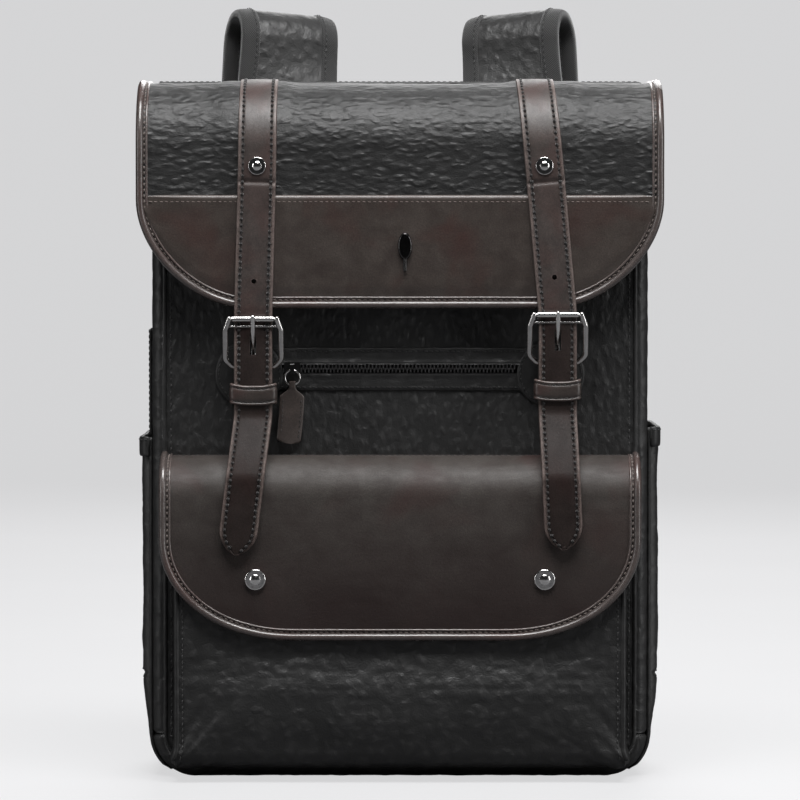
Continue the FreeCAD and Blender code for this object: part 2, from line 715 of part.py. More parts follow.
def strap_path(name):
    """(y, z) path of the strap: over the flap, behind the roller, over the heel bar, onto the pocket flap."""
    roller, heel = ROLLER_Z[name], ROLLER_Z[name] - HEEL_DROP
    on_flap = FLAP_FRONT - GAP - STRAP / 2
    behind_roller = ROLLER_Y + ROLLER + LOOP_CLEAR + STRAP / 2
    over_heel = HEEL_Y - LOOP_RADIUS - LOOP_CLEAR - STRAP / 2
    over_binding = on_flap - BINDING_PROUD
    top, start = FLAP_TOP + GAP + STRAP / 2, 5.0
    out_z = PFLAP_TOP - 12
    points = [(start, top), (on_flap, top), (on_flap, RIVET_Z - 30), (over_binding, FLAP_BOTTOM + 18)]
    points += [(over_binding, FLAP_BOTTOM), (behind_roller, roller), (over_heel, heel + 2)]
    points += [(over_heel, heel - END_DROP), (FREE_Y, out_z), (FREE_Y, TIP_Z[name] - 5)]
    bends = [SHOULDER + GAP + STRAP / 2, 14.0, 14.0, 5.0, 14.0, 14.0, 14.0, 14.0]
    return points, bends


def strap_solid(name, top, bottom):
    """The closing strap between two heights."""
    points, bends = strap_path(name)
    band = sheet(points, bends, (-STRAP / 2, STRAP / 2), -FAR, 2 * FAR)
    return band.common(strap_outline(name, top, bottom))


def flex_z(name):
    """Height at which the strap's free end flexes."""
    return ROLLER_Z[name] - HEEL_DROP - END_DROP


def flap_strap(name):
    """Strap from the flap down past the buckle, with its punched hole and the prong's slot."""
    solid = strap_solid(name, FAR * 2, flex_z(name) + 0.3)
    x, roller = BUCKLE_X[name], ROLLER_Z[name]
    hole_up, hole_radius, slot_half, slot_back = 22.5, 1.5, 2.2, -60
    hole_x = x + (RIVET_X[name] - x) * hole_up / (RIVET_Z - roller)
    punched = disc(hole_x, roller + hole_up, -FAR, 0, hole_radius)
    low = (x - slot_half, -FAR, roller - HEEL_DROP + 5.0)
    slot = block(low, (x + slot_half, slot_back, roller - 8.0))
    return solid.cut(punched).cut(slot)


def strap_end(name):
    """Pointed free end that lies on the pocket flap."""
    return strap_solid(name, flex_z(name) - 0.3, 0)


def strap_rivets():
    """Rivets that hold the closing straps to the flap."""
    back, height = FLAP_FRONT - GAP - STRAP - 0.1, 2.2
    return Part.makeCompound([rimmed_cap(RIVET_X[n], RIVET_Z, back, RIVET_RADIUS, height) for n in SIDES])


def chape(name):
    """Leather tab behind the buckle; its top folds round the heel bar, with a notch for the prong."""
    x, heel = BUCKLE_X[name], ROLLER_Z[name] - HEEL_DROP
    back, front, half, below, above = CHAPE_BACK - GAP, CHAPE_BACK - 3.0, 10.5, 27, 12
    plate = block((x - half, front, heel - below), (x + half, back, heel + above))
    loop = rod((x - half, HEEL_Y, heel), (1, 0, 0), LOOP_RADIUS, 2 * half)
    bridge = block((x - half, HEEL_Y, heel - LOOP_RADIUS), (x + half, back, heel + LOOP_RADIUS))
    body = fuse([plate, loop, bridge])
    bore = rod((x - FAR, HEEL_Y, heel), (1, 0, 0), WIRE + RUN, 2 * FAR)
    notch = block((x - 2.6, -FAR, heel - 5.0), (x + 2.6, front - 0.05, heel + above + 0.5))
    return body.cut(bore).cut(notch)


def chape_magnets():
    """Metal halves of the hidden snaps behind the chapes."""
    back = CHAPE_BACK + MAGNET
    discs = [disc(BUCKLE_X[n], MAGNET_Z, CHAPE_BACK, back, MAGNET_RADIUS) for n in SIDES]
    return Part.makeCompound(discs)


def buckle_tilt(name, shape):
    """Leans a part built upright on the heel bar until it reaches the roller's place."""
    heel = ROLLER_Z[name] - HEEL_DROP
    angle = math.degrees(math.atan2(HEEL_Y - ROLLER_Y, HEEL_DROP))
    shape.rotate(Vector(0, HEEL_Y, heel), Vector(1, 0, 0), angle)
    return shape


def frame_height():
    return math.hypot(HEEL_DROP, HEEL_Y - ROLLER_Y)


def buckle_frame(name):
    """Wire frame with cut corners, a pin for the roller and a thinner bar just below it."""
    x, heel, tall = BUCKLE_X[name], ROLLER_Z[name] - HEEL_DROP, frame_height()
    half = FRAME_HALF - WIRE
    place = (lambda v: Vector(x + v.x, HEEL_Y, heel + v.y))
    top_cut, low_cut = FRAME_TOP_CUT, FRAME_LOW_CUT
    right = [(half - low_cut, 0), (half, low_cut), (half, tall - top_cut[1]), (half - top_cut[0], tall)]
    points = [(-a, b) for a, b in reversed(right)] + right
    edges, begin, end = path_edges(points, FRAME_BENDS + FRAME_BENDS[::-1], 0.0, place)
    way = Vector(-top_cut[0], 0, -top_cut[1])
    circle = Part.Wire(Part.makeCircle(WIRE, begin, way))
    hoop = Part.Wire(edges).makePipeShell([circle], True, True)
    ends = [Part.makeSphere(WIRE, begin), Part.makeSphere(WIRE, end)]
    pin = rod(begin, (1, 0, 0), PIN, end.x - begin.x)
    bar_half = half - top_cut[0] + INNER_BAR_DROP * top_cut[0] / top_cut[1]
    bar = rod((x - bar_half, HEEL_Y, heel + tall - INNER_BAR_DROP), (1, 0, 0), INNER_BAR, 2 * bar_half)
    return buckle_tilt(name, fuse([hoop, pin, bar] + ends))


def buckle_roller(name):
    """Tube that turns on the frame's top bar."""
    x, heel, tall = BUCKLE_X[name], ROLLER_Z[name] - HEEL_DROP, frame_height()
    half = FRAME_HALF - WIRE - FRAME_TOP_CUT[0] - WIRE - 0.3
    start = (x - half, HEEL_Y, heel + tall)
    tube = rod(start, (1, 0, 0), ROLLER, 2 * half).cut(rod(start, (1, 0, 0), PIN + RUN, 2 * half))
    return buckle_tilt(name, tube)


def buckle_prong(name):
    """Prong: an eye round the heel bar and a shaft that lies over the roller."""
    x, heel, tall = BUCKLE_X[name], ROLLER_Z[name] - HEEL_DROP, frame_height()
    half, eye_radius, radius = 2.0, 3.2, 1.4
    eye = rod((x - half, HEEL_Y, heel), (1, 0, 0), eye_radius, 2 * half)
    place = (lambda v: Vector(x, v.x, v.y))
    tip_y = HEEL_Y - ROLLER - radius - 0.15
    behind = HEEL_Y + 1.5
    points = [(behind, heel + 1.0), (behind, heel + 9.5)]
    points += [(tip_y, heel + 22.0), (tip_y, heel + tall + 2.2)]
    edges, begin, end = path_edges(points, [6.0, 8.0], 0.0, place)
    circle = Part.Wire(Part.makeCircle(radius, begin, Vector(0, 0, 1)))
    shaft = Part.Wire(edges).makePipeShell([circle], True, True)
    bore = rod((x - FAR, HEEL_Y, heel), (1, 0, 0), WIRE + RUN, 2 * FAR)
    solid = fuse([eye, shaft, Part.makeSphere(radius, end)]).cut(bore)
    return buckle_tilt(name, solid)


def keeper(name):
    """Leather loop round the chape and the strap."""
    x, z = BUCKLE_X[name], ROLLER_Z[name] - HEEL_DROP - KEEPER_DROP
    half_in, wall = STRAP_WIDTH / 2 + 0.8, 1.5
    front_in = HEEL_Y - LOOP_RADIUS - LOOP_CLEAR - STRAP - 0.5
    back_in = CHAPE_BACK + GAP
    low, high = z - KEEPER_HEIGHT / 2, z + KEEPER_HEIGHT / 2
    outer = block((x - half_in - wall, front_in - wall, low), (x + half_in + wall, back_in + wall, high))
    outer = softened(outer, 1.2, lambda e: abs(e.Length - KEEPER_HEIGHT) < 1e-6)
    return outer.cut(block((x - half_in, front_in, 0), (x + half_in, back_in, FAR)))


# ---------------------------------------------------------------- writing the files

WHOLE = [front_panel, back_panel, base_panel, lining, laptop_divider, rim_hem, eyelets, drawcord,
         cord_lock_barrel, cord_lock_button, back_padding, back_yoke, webbing_tabs, carry_handle,
         side_placket, lower_pocket, pocket_flap, pocket_flap_binding, snap_caps, magnet_discs,
         anchor_patches, zip_tape, zip_teeth, zip_slider, zip_ring, zip_pull_tab, flap_lining,
         flap_binding, flap_badge, strap_rivets, chape_magnets]
PAIRED = [side_pocket, strap_arch, strap_pad, webbing, strap_adjuster, flap_strap, strap_end, chape,
          buckle_frame, buckle_roller, buckle_prong, keeper]


def parts():
    """Every sub-part by its node name."""
    made = {make.__name__: make() for make in WHOLE}
    made["flap_upper_panel"] = flap_panel(True)
    made["flap_lower_panel"] = flap_panel(False)
    for name in SIDES:
        made[name + "_gusset"] = gusset(name)
        for make in PAIRED:
            made[make.__name__ + "_" + name] = make(name)
    return made


os.makedirs("parts", exist_ok=True)
for node, shape in parts().items():
    shape.exportStep("parts/" + node + ".step")
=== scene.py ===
import json
import math

import bmesh
import bpy
import numpy as np
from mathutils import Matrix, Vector
from mathutils.kdtree import KDTree


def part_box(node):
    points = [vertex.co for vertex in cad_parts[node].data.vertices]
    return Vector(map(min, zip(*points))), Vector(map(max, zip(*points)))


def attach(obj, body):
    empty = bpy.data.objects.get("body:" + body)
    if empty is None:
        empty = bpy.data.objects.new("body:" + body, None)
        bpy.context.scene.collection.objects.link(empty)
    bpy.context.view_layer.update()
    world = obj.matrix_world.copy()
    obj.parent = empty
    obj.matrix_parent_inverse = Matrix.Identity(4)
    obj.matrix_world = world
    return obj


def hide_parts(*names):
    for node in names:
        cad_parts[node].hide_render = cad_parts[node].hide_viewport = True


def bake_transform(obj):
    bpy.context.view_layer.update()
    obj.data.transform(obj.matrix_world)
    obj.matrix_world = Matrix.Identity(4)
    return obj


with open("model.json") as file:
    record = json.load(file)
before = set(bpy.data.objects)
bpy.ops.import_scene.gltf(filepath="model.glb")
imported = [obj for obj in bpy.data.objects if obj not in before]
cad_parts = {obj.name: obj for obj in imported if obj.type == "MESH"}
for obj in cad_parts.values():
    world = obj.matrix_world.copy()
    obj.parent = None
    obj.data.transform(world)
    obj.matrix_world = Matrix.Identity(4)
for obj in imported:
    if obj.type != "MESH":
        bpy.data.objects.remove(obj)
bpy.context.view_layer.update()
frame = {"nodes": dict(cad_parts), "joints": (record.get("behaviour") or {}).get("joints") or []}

# Looks of the leather backpack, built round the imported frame. The geometry code works in millimetres in the
# frame's own axes (the front faces -Y, +Z is up) and every mesh is written in metres.
MM = 0.001
SIDES = {"left": -1.0, "right": 1.0}
JOINTS = {j["name"]: j for j in frame["joints"]}
TO_FRONT, TO_BACK, TO_FLOOR = (0.0, -1.0, 0.0), (0.0, 1.0, 0.0), (0.0, 0.0, -1.0)


def span(node):
    """Lowest and highest corner of a CAD node, in millimetres."""
    low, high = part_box(node)
    return np.array(low) / MM, np.array(high) / MM


def middle(node, axis):
    low, high = span(node)
    return (low[axis] + high[axis]) / 2


def pivot(joint):
    return np.array(JOINTS[joint]["pos_m"]) / MM


# ---------------------------------------------------------------- noise

def lattice(cell, seed):
    """A repeatable number from 0 to 1 for each whole-number cell."""
    x, y, z = (cell[..., i].astype(np.int64) for i in range(3))
    n = (x * 73856093) ^ (y * 19349663) ^ (z * 83492791) ^ (seed * 2654435761)
    n = ((n ^ (n >> 15)) * 2246822519) & 0xFFFFFFFF
    n = ((n ^ (n >> 13)) * 3266489917) & 0xFFFFFFFF
    return ((n ^ (n >> 16)) & 0xFFFFFF) / float(0xFFFFFF)


def noise(points, size, seed=1):
    """Smooth noise from -1 to 1 with lumps of about the given size in millimetres."""
    p = np.asarray(points, float) / np.asarray(size, float)
    cell = np.floor(p)
    f = p - cell
    f = f * f * (3 - 2 * f)
    total = 0.0
    for dx in (0, 1):
        for dy in (0, 1):
            for dz in (0, 1):
                w = (f[..., 0] if dx else 1 - f[..., 0]) * (f[..., 1] if dy else 1 - f[..., 1])
                w = w * (f[..., 2] if dz else 1 - f[..., 2])
                total = total + w * lattice(cell + np.array([dx, dy, dz]), seed)
    return total * 2 - 1


def creases(points, size, seed=1, octaves=3):
    """Ridged noise from 0 to 1: sharp folds with soft valleys between them."""
    total, share, top = 0.0, 1.0, 0.0
    size = np.asarray(size, float)
    for i in range(octaves):
        total = total + share * (1 - np.abs(noise(points, size / 2 ** i, seed + i)))
        top += share
        share *= 0.5
    return total / top


def smooth(t):
    t = np.clip(t, 0, 1)
    return t * t * (3 - 2 * t)


# ---------------------------------------------------------------- lines and grids

def steps(low, high, pitch):
    """Evenly spaced numbers from low to high, about pitch apart."""
    return np.linspace(low, high, max(2, int(abs(high - low) / pitch) + 1))


def facing(way, *shape):
    """One direction repeated over a line or a grid of points."""
    return np.tile(np.array(way, float), (*shape, 1))


def distances(line):
    """Distance along a line to each of its points."""
    return np.concatenate([[0], np.cumsum(np.linalg.norm(np.diff(line, axis=0), axis=1))])


def resampled(line, along, at):
    """Values of a line, one column at a time, at distances at."""
    return np.stack([np.interp(at, along, line[:, k]) for k in range(line.shape[1])], 1)


def even(line, pitch):
    """The same line with evenly spaced points."""
    line = np.asarray(line, float)
    along = distances(line)
    return resampled(line, along, steps(0, along[-1], pitch))


def level_line(low, high, pitch, y, z):
    """Points along X at one depth and one height."""
    x = steps(low, high, pitch)
    return np.stack([x, np.full(len(x), y), np.full(len(x), z)], -1)


def eased(line, width):
    """The same line with each point averaged over an odd number of neighbours."""
    share = np.ones(width) / width
    padded = np.pad(line, ((width // 2, width // 2), (0, 0)), mode="edge")
    return np.stack([np.convolve(padded[:, k], share, "valid") for k in range(line.shape[1])], 1)


def inward(line, distance):
    """A line in a plane moved to its left."""
    way = np.gradient(line, axis=0)
    way /= np.maximum(np.linalg.norm(way, axis=1, keepdims=True), 1e-9)
    return line + np.stack([-way[:, 1], way[:, 0]], 1) * distance


# ---------------------------------------------------------------- meshes

def points_of(piece):
    """The points of a piece's mesh, in millimetres."""
    return np.array([v.co for v in piece.data.vertices]) / MM


def move_points(piece, points):
    piece.data.vertices.foreach_set("co", (points * MM).ravel())
    piece.data.update()


def finish_mesh(name, points, faces, material, flow=None):
    """A mesh object from points in millimetres, with the flow attribute that grain and weave follow."""
    mesh = bpy.data.meshes.new(name)
    points = np.asarray(points, float).reshape(-1, 3)
    mesh.from_pydata((points * MM).tolist(), [], faces)
    work = bmesh.new()
    work.from_mesh(mesh)
    bmesh.ops.recalc_face_normals(work, faces=work.faces)
    work.to_mesh(mesh)
    work.free()
    mesh.polygons.foreach_set("use_smooth", [True] * len(mesh.polygons))
    stored = mesh.attributes.new("flow", "FLOAT_VECTOR", "POINT")
    flow = points if flow is None else np.asarray(flow, float).reshape(-1, 3)
    stored.data.foreach_set("vector", (flow * MM).astype(np.float32).ravel())
    mesh.update()
    piece = bpy.data.objects.new(name, mesh)
    bpy.context.scene.collection.objects.link(piece)
    piece.data.materials.append(material)
    return piece


def grid_faces(rows, columns, start=0, flip=False, loop=False):
    faces = []
    for i in range(rows - 1):
        for j in range(columns if loop else columns - 1):
            a = start + i * columns + j
            b = start + i * columns + (j + 1) % columns
            quad = (a, b, b + columns, a + columns)
            faces.append(quad[::-1] if flip else quad)
    return faces


def grid_normals(grid):
    """Unit normals of a point grid."""
    across = np.gradient(grid, axis=1)
    down = np.gradient(grid, axis=0)
    n = np.cross(across, down)
    return n / np.maximum(np.linalg.norm(n, axis=-1, keepdims=True), 1e-9)


def arc_lengths(grid, axis):
    step = np.linalg.norm(np.diff(grid, axis=axis), axis=-1)
    pad = [(0, 0), (0, 0)]
    pad[axis] = (1, 0)
    return np.cumsum(np.pad(step, pad), axis=axis)


def edge_distance(grid):
    """How far each grid point is from the sheet's border, in millimetres."""
    down, across = arc_lengths(grid, 0), arc_lengths(grid, 1)
    return np.minimum(np.minimum(down, down[-1:] - down), np.minimum(across, across[:, -1:] - across))


def closed_sheet(name, top, under, material, top_flow, under_flow):
    """A closed piece between two point grids of the same shape."""
    rows, columns = top.shape[:2]
    total = rows * columns
    faces = grid_faces(rows, columns) + grid_faces(rows, columns, total, True)
    border = [(0, j) for j in range(columns)] + [(i, columns - 1) for i in range(1, rows)]
    border += [(rows - 1, j) for j in range(columns - 2, -1, -1)] + [(i, 0) for i in range(rows - 2, 0, -1)]
    loop = [i * columns + j for i, j in border]
    faces += [(b, a, a + total, b + total) for a, b in zip(loop, loop[1:] + loop[:1])]
    points = np.concatenate([top.reshape(-1, 3), under.reshape(-1, 3)])
    flow = np.concatenate([top_flow.reshape(-1, 3), under_flow.reshape(-1, 3)])
    return finish_mesh(name, points, faces, material, flow)


UNDER_FLOW = np.array([7.0, 11.0, 0.0])     # shifts the grain of a sheet's underside away from its face's


def slab(name, outer, thickness, material, out=None, rounding=1.0, flow=None, extra=0.0):
    """A closed leather sheet. outer is a grid of points on its outer face; out points outwards.

    Its edges are rounded over. extra lifts or sinks the outer face point by point.
    """
    normal = grid_normals(outer) if out is None else out
    near = np.clip(edge_distance(outer) / max(rounding, 1e-6), 0, 1)
    drop = (1 - np.sqrt(1 - (1 - near) ** 2)) * thickness / 2
    drop = drop[..., None]
    lift = np.asarray(extra, float)
    lift = lift[..., None] if lift.ndim else lift
    top = outer + normal * (lift - drop)
    under = outer - normal * (thickness - drop)
    if flow is None:
        flow = np.stack([arc_lengths(outer, 1), arc_lengths(outer, 0), np.zeros(outer.shape[:2])], -1)
    return closed_sheet(name, top, under, material, flow, flow + UNDER_FLOW)


def frames(path, normals):
    """Tangents, across directions and outward normals along a path."""
    tangent = np.gradient(path, axis=0)
    tangent /= np.maximum(np.linalg.norm(tangent, axis=1, keepdims=True), 1e-9)
    across = np.cross(tangent, normals)
    across /= np.maximum(np.linalg.norm(across, axis=1, keepdims=True), 1e-9)
    return tangent, across, np.cross(across, tangent)


def sweep(name, path, normals, section, material, loop=False, wobble=0.0):
    """Pulls a closed section of (across, out) points along a path; section may differ at each station."""
    path, normals = np.asarray(path, float), np.asarray(normals, float)
    if loop:
        path = np.vstack([path[-1:], path, path[:1]])
        normals = np.vstack([normals[-1:], normals, normals[:1]])
    _, across, out = frames(path, normals)
    if loop:
        path, across, out = path[1:-1], across[1:-1], out[1:-1]
    count = len(path)
    section = np.asarray(section, float)
    if section.ndim == 2:
        section = np.repeat(section[None], count, 0)
    points = path[:, None] + across[:, None] * section[..., :1] + out[:, None] * section[..., 1:]
    if wobble:
        points = points + out[:, None] * (noise(points, 9.0, 5) * wobble)[..., None]
    sides = section.shape[1]
    faces = grid_faces(count, sides, loop=True)
    if loop:
        last = (count - 1) * sides
        faces += [(last + j, last + (j + 1) % sides, (j + 1) % sides, j) for j in range(sides)]
    else:
        faces += [tuple(range(sides))[::-1], tuple(range((count - 1) * sides, count * sides))]
    along = distances(path)
    flow = np.stack([np.repeat(along[:, None], sides, 1), section[..., 0], section[..., 1]], -1)
    return finish_mesh(name, points, faces, material, flow)


def bean(width, height, power=2.6, count=20, lift=0.0):
    """A flattened round section."""
    t = np.linspace(0, 2 * math.pi, count, endpoint=False)
    c, s = np.cos(t), np.sin(t)
    x = np.sign(c) * np.abs(c) ** (2 / power) * width / 2
    y = np.sign(s) * np.abs(s) ** (2 / power) * height / 2 + lift
    return np.stack([x, y], 1)


def strap_section(width, thickness, groove=3.0, bead=0.3):
    """Strap section: a soft crown, a groove where the stitching sits and a raised, rounded edge beside it."""
    half, low = width / 2, -thickness / 2
    k = min(1.0, half / (groove * 2.2))
    gaps = np.array([2.2 * groove, 1.5 * groove, groove + 0.75, groove, groove - 0.75, 1.1, 0.4, 0.0]) * k
    middle = np.linspace(0, half - gaps[0], 5)[:-1]
    x = np.concatenate([middle, half - gaps])
    rise = np.array([0.36, 0.36, 0.35, 0.34, 0.33, 0.27, 0.16, -0.30, bead * 0.7, bead, bead * 0.3]) * k
    right = np.stack([x, thickness / 2 + np.append(rise, -thickness / 2)], 1)
    left = right[1:] * [-1, 1]
    corner, belly = half - 0.4 * k, low - 0.1
    under = np.array([[corner, low], [half * 0.5, belly], [-half * 0.5, belly], [-corner, low]])
    return np.vstack([left[::-1], right, under])


def binding_section(tall):
    """Rolled edge binding: a thin lip, a stitched groove and a fat roll on the outer side."""
    top = [(-3.6, -0.6), (-3.5, 0.4), (-3.0, 0.85), (-2.4, 0.7), (-1.95, -0.1), (-1.5, -0.35), (-1.05, -0.1)]
    top += [(-0.6, 1.0), (0.1, 1.9), (1.1, 2.25), (2.2, 2.0), (3.1, 1.1), (3.6, -0.2), (3.65, -1.4)]
    rise = [(3.2, 1.1), (2.2, 0.3), (0.0, 0.1), (-2.4, 0.3), (-3.4, 0.9)]
    return np.array(top + [(x, up - tall) for x, up in rise])


# a stitch is four rings: share of its length, share of its radius, and how far it dips, in radii
STITCH_RINGS = [(-0.5, 0.35, -0.7), (-0.32, 1.0, 0.0), (0.32, 1.0, 0.0), (0.5, 0.35, -0.7)]


def stitch_row(name, path, normals, material, offset=0.0, lift=0.0, pitch=3.6, length=2.5, radius=0.34):
    """A row of single stitches beside a path, all in one mesh."""
    slant, sides = 0.12, 6
    path, normals = np.asarray(path, float), np.asarray(normals, float)
    tangent, across, out = frames(path, normals)
    line = path + across * offset + out * lift
    along = distances(line)
    at = np.arange(pitch / 2, along[-1] - pitch / 3, pitch)
    centre, way, aside, up = (resampled(v, along, at) for v in (line, tangent, across, out))
    way = way + aside * slant
    way /= np.linalg.norm(way, axis=1, keepdims=True)
    aside = np.cross(way, up)
    angle = np.arange(sides) * 2 * math.pi / sides
    turn = aside[:, None] * np.cos(angle)[None, :, None] + up[:, None] * np.sin(angle)[None, :, None]
    rings = []
    for share, fat, sink in STITCH_RINGS:
        ring_centre = centre + way * (length * share) + up * (radius * sink)
        rings.append(ring_centre[:, None] + turn * radius * fat)
    faces = []
    for base in range(0, len(at) * len(rings) * sides, len(rings) * sides):
        faces += grid_faces(len(rings), sides, base, loop=True)
        faces.append(tuple(base + j for j in range(sides))[::-1])
        faces.append(tuple(base + (len(rings) - 1) * sides + j for j in range(sides)))
    return finish_mesh(name, np.stack(rings, 1), faces, material)


class Bend:
    """A path in a plane made of straights with rounded corners, read by distance along it."""

    def __init__(self, points, bends, step=0.6):
        points = [np.array(p, float) for p in points]
        line = [points[0]]
        for i, radius in enumerate(bends):
            before, corner, after = points[i], points[i + 1], points[i + 2]
            v, w = corner - before, after - corner
            v, w = v / np.linalg.norm(v), w / np.linalg.norm(w)
            turn = math.atan2(v[0] * w[1] - v[1] * w[0], v @ w)
            cut = radius * math.tan(abs(turn) / 2)
            side = np.array([-v[1], v[0]]) * math.copysign(radius, turn)
            centre = corner - v * cut + side
            count = max(3, int(abs(turn) * radius / step))
            for t in np.linspace(0, turn, count):
                c, s = math.cos(t), math.sin(t)
                arm = -side
                line.append(centre + np.array([arm[0] * c - arm[1] * s, arm[0] * s + arm[1] * c]))
        line.append(points[-1])
        line = np.array(line)
        keep = np.concatenate([[True], np.linalg.norm(np.diff(line, axis=0), axis=1) > 1e-6])
        line = line[keep]
        along = distances(line)
        self.length = along[-1]
        self.s = np.linspace(0, self.length, int(self.length / step) + 2)
        self.p = resampled(line, along, self.s)
        way = np.gradient(self.p, axis=0)
        way /= np.linalg.norm(way, axis=1, keepdims=True)
        self.n = np.stack([way[:, 1], -way[:, 0]], 1)

    def at(self, s):
        """Points and right-hand normals at distances s, continued straight past both ends."""
        s = np.asarray(s, float)
        p = np.stack([np.interp(s, self.s, self.p[:, k]) for k in (0, 1)], -1)
        n = np.stack([np.interp(s, self.s, self.n[:, k]) for k in (0, 1)], -1)
        n = n / np.linalg.norm(n, axis=-1, keepdims=True)
        over = s - np.clip(s, 0, self.length)
        return p + np.stack([-n[..., 1], n[..., 0]], -1) * over[..., None], n


def boolean_cut(piece, cutters):
    """Cuts closed meshes out of a piece and removes them; the piece keeps its flow and its finish."""
    before, material = piece.data, piece.data.materials[0]
    flow = np.zeros(len(before.vertices) * 3, np.float32)
    before.attributes["flow"].data.foreach_get("vector", flow)
    tree = KDTree(len(before.vertices))
    for i, v in enumerate(before.vertices):
        tree.insert(v.co, i)
    tree.balance()
    for cutter in cutters:
        tool = piece.modifiers.new("cut", "BOOLEAN")
        tool.operation, tool.solver, tool.object = "DIFFERENCE", "EXACT", cutter
    shown = bpy.context.evaluated_depsgraph_get()
    mesh = bpy.data.meshes.new_from_object(piece.evaluated_get(shown))
    piece.modifiers.clear()
    piece.data = mesh
    kept = mesh.attributes.get("flow")
    if kept:
        mesh.attributes.remove(kept)
    near = [tree.find(v.co)[1] for v in mesh.vertices]
    stored = mesh.attributes.new("flow", "FLOAT_VECTOR", "POINT")
    stored.data.foreach_set("vector", flow.reshape(-1, 3)[near].ravel())
    mesh.materials.clear()
    mesh.materials.append(material)
    mesh.polygons.foreach_set("material_index", [0] * len(mesh.polygons))
    mesh.polygons.foreach_set("use_smooth", [True] * len(mesh.polygons))
    mesh.set_sharp_from_angle(angle=math.radians(50))
    for cutter in cutters:
        bpy.data.objects.remove(cutter)
    return piece


def rod_mesh(start, end, radius):
    """A round bar for cutting; it must not run along Z."""
    path = np.linspace(start, end, 3)
    return sweep("cutter", path, facing((0.0, 0.0, 1.0), 3), bean(2 * radius, 2 * radius, 2.0, 20), None)


def box_mesh(low, high):
    points = [(x, y, z) for x in (low[0], high[0]) for y in (low[1], high[1]) for z in (low[2], high[2])]
    faces = [(0, 1, 3, 2), (4, 6, 7, 5), (0, 4, 5, 1), (2, 3, 7, 6), (0, 2, 6, 4), (1, 5, 7, 3)]
    return finish_mesh("cutter", points, faces, None)


def place(piece, body, slot, *nodes):
    """Rides a piece on a body and hides the CAD nodes it stands for. slot is not used."""
    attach(piece, body)
    if nodes:
        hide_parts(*nodes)
    return piece


def on_bag(piece, *nodes):
    """Places a black piece that is fixed to the body of the bag."""
    return place(piece, "bag", "black_leather", *nodes)


def place_bent(piece, first, second, start, end, slot, *nodes):
    """Bakes a piece's placing into its mesh and hides the CAD nodes it stands for; it rides on no body.
    first, second, slot, and start and end (in millimetres) are not used.
    """
    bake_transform(piece)
    if nodes:
        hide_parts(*nodes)
    return piece


# ---------------------------------------------------------------- materials

class Look:
    """Builds one node material."""

    def __init__(self, name):
        self.material = bpy.data.materials.new(name)
        self.material.use_nodes = True
        self.tree = self.material.node_tree
        self.shader = self.tree.nodes["Principled BSDF"]

    def node(self, kind, sockets=None, **settings):
        made = self.tree.nodes.new("ShaderNode" + kind)
        for key, value in settings.items():
            setattr(made, key, value)
        for key, value in (sockets or {}).items():
            self.feed(made.inputs[key], value)
        return made

    def feed(self, socket, value):
        if isinstance(value, bpy.types.NodeSocket):
            self.tree.links.new(value, socket)
        else:
            socket.default_value = value

    def coordinates(self, stretch=(1, 1, 1), flow=True):
        if flow:
            source = self.node("Attribute", attribute_name="flow").outputs["Vector"]
        else:
            source = self.node("TexCoord").outputs["Object"]
        return self.node("Mapping", {"Vector": source, "Scale": stretch}).outputs["Vector"]

    def math(self, action, a, b=0.0, c=0.0):
        return self.node("Math", {0: a, 1: b, 2: c}, operation=action).outputs[0]

    def noise(self, vector, scale, detail=3.0, rough=0.5, kind="FBM", warp=0.0):
        sockets = {"Vector": vector, "Scale": scale, "Detail": detail, "Roughness": rough, "Distortion": warp}
        made = self.node("TexNoise", None, noise_type=kind)
        for key, value in sockets.items():
            self.feed(made.inputs[key], value)
        return made.outputs["Fac"]

    def cells(self, vector, scale, feature="DISTANCE_TO_EDGE"):
        made = self.node("TexVoronoi", {"Vector": vector, "Scale": scale}, feature=feature)
        return made.outputs["Distance"]

    def ramp(self, value, *stops):
        made = self.node("ValToRGB", {"Fac": value})
        stops = [(p, c if len(c) == 4 else (*c, 1.0)) for p, c in stops]
        ramp = made.color_ramp
        ramp.elements[0].position, ramp.elements[0].color = stops[0]
        ramp.elements[1].position, ramp.elements[1].color = stops[-1]
        for p, c in stops[1:-1]:
            ramp.elements.new(p).color = c
        return made.outputs["Color"]

    def range(self, value, low, high, to_low=0.0, to_high=1.0):
        sockets = {"Value": value, "From Min": low, "From Max": high, "To Min": to_low, "To Max": to_high}
        return self.node("MapRange", sockets).outputs["Result"]

    def mix(self, share, a, b, blend="MIX"):
        made = self.node("Mix", None, data_type="RGBA", blend_type=blend)
        for key, value in (("Factor", share), ("A", a), ("B", b)):
            socket = [s for s in made.inputs if s.name == key and s.enabled][0]
            self.feed(socket, (*value, 1.0) if isinstance(value, tuple) else value)
        return [s for s in made.outputs if s.enabled][0]

    def part(self, vector, axis):
        return self.node("SeparateXYZ", {0: vector}).outputs[axis]

    def bump(self, height, distance):
        return self.node("Bump", {"Height": height, "Distance": distance, "Strength": 1.0}).outputs["Normal"]

    def edge_wear(self):
        """Above 0.5 on worn convex edges, 0.5 on flat faces."""
        return self.node("NewGeometry").outputs["Pointiness"]

    def surface(self, color, rough, normal, metal=0.0, specular=0.5, coat=0.0, sheen=0.0):
        self.feed(self.shader.inputs["Base Color"], color if not isinstance(color, tuple) else (*color, 1.0))
        self.feed(self.shader.inputs["Roughness"], rough)
        self.feed(self.shader.inputs["Metallic"], metal)
        self.feed(self.shader.inputs["Specular IOR Level"], specular)
        self.feed(self.shader.inputs["Coat Weight"], coat)
        self.feed(self.shader.inputs["Coat Roughness"], 0.25)
        self.feed(self.shader.inputs["Sheen Weight"], sheen)
        self.feed(self.shader.inputs["Normal"], normal)
        return self.material


def toned(color, share):
    return tuple(c * share for c in color)


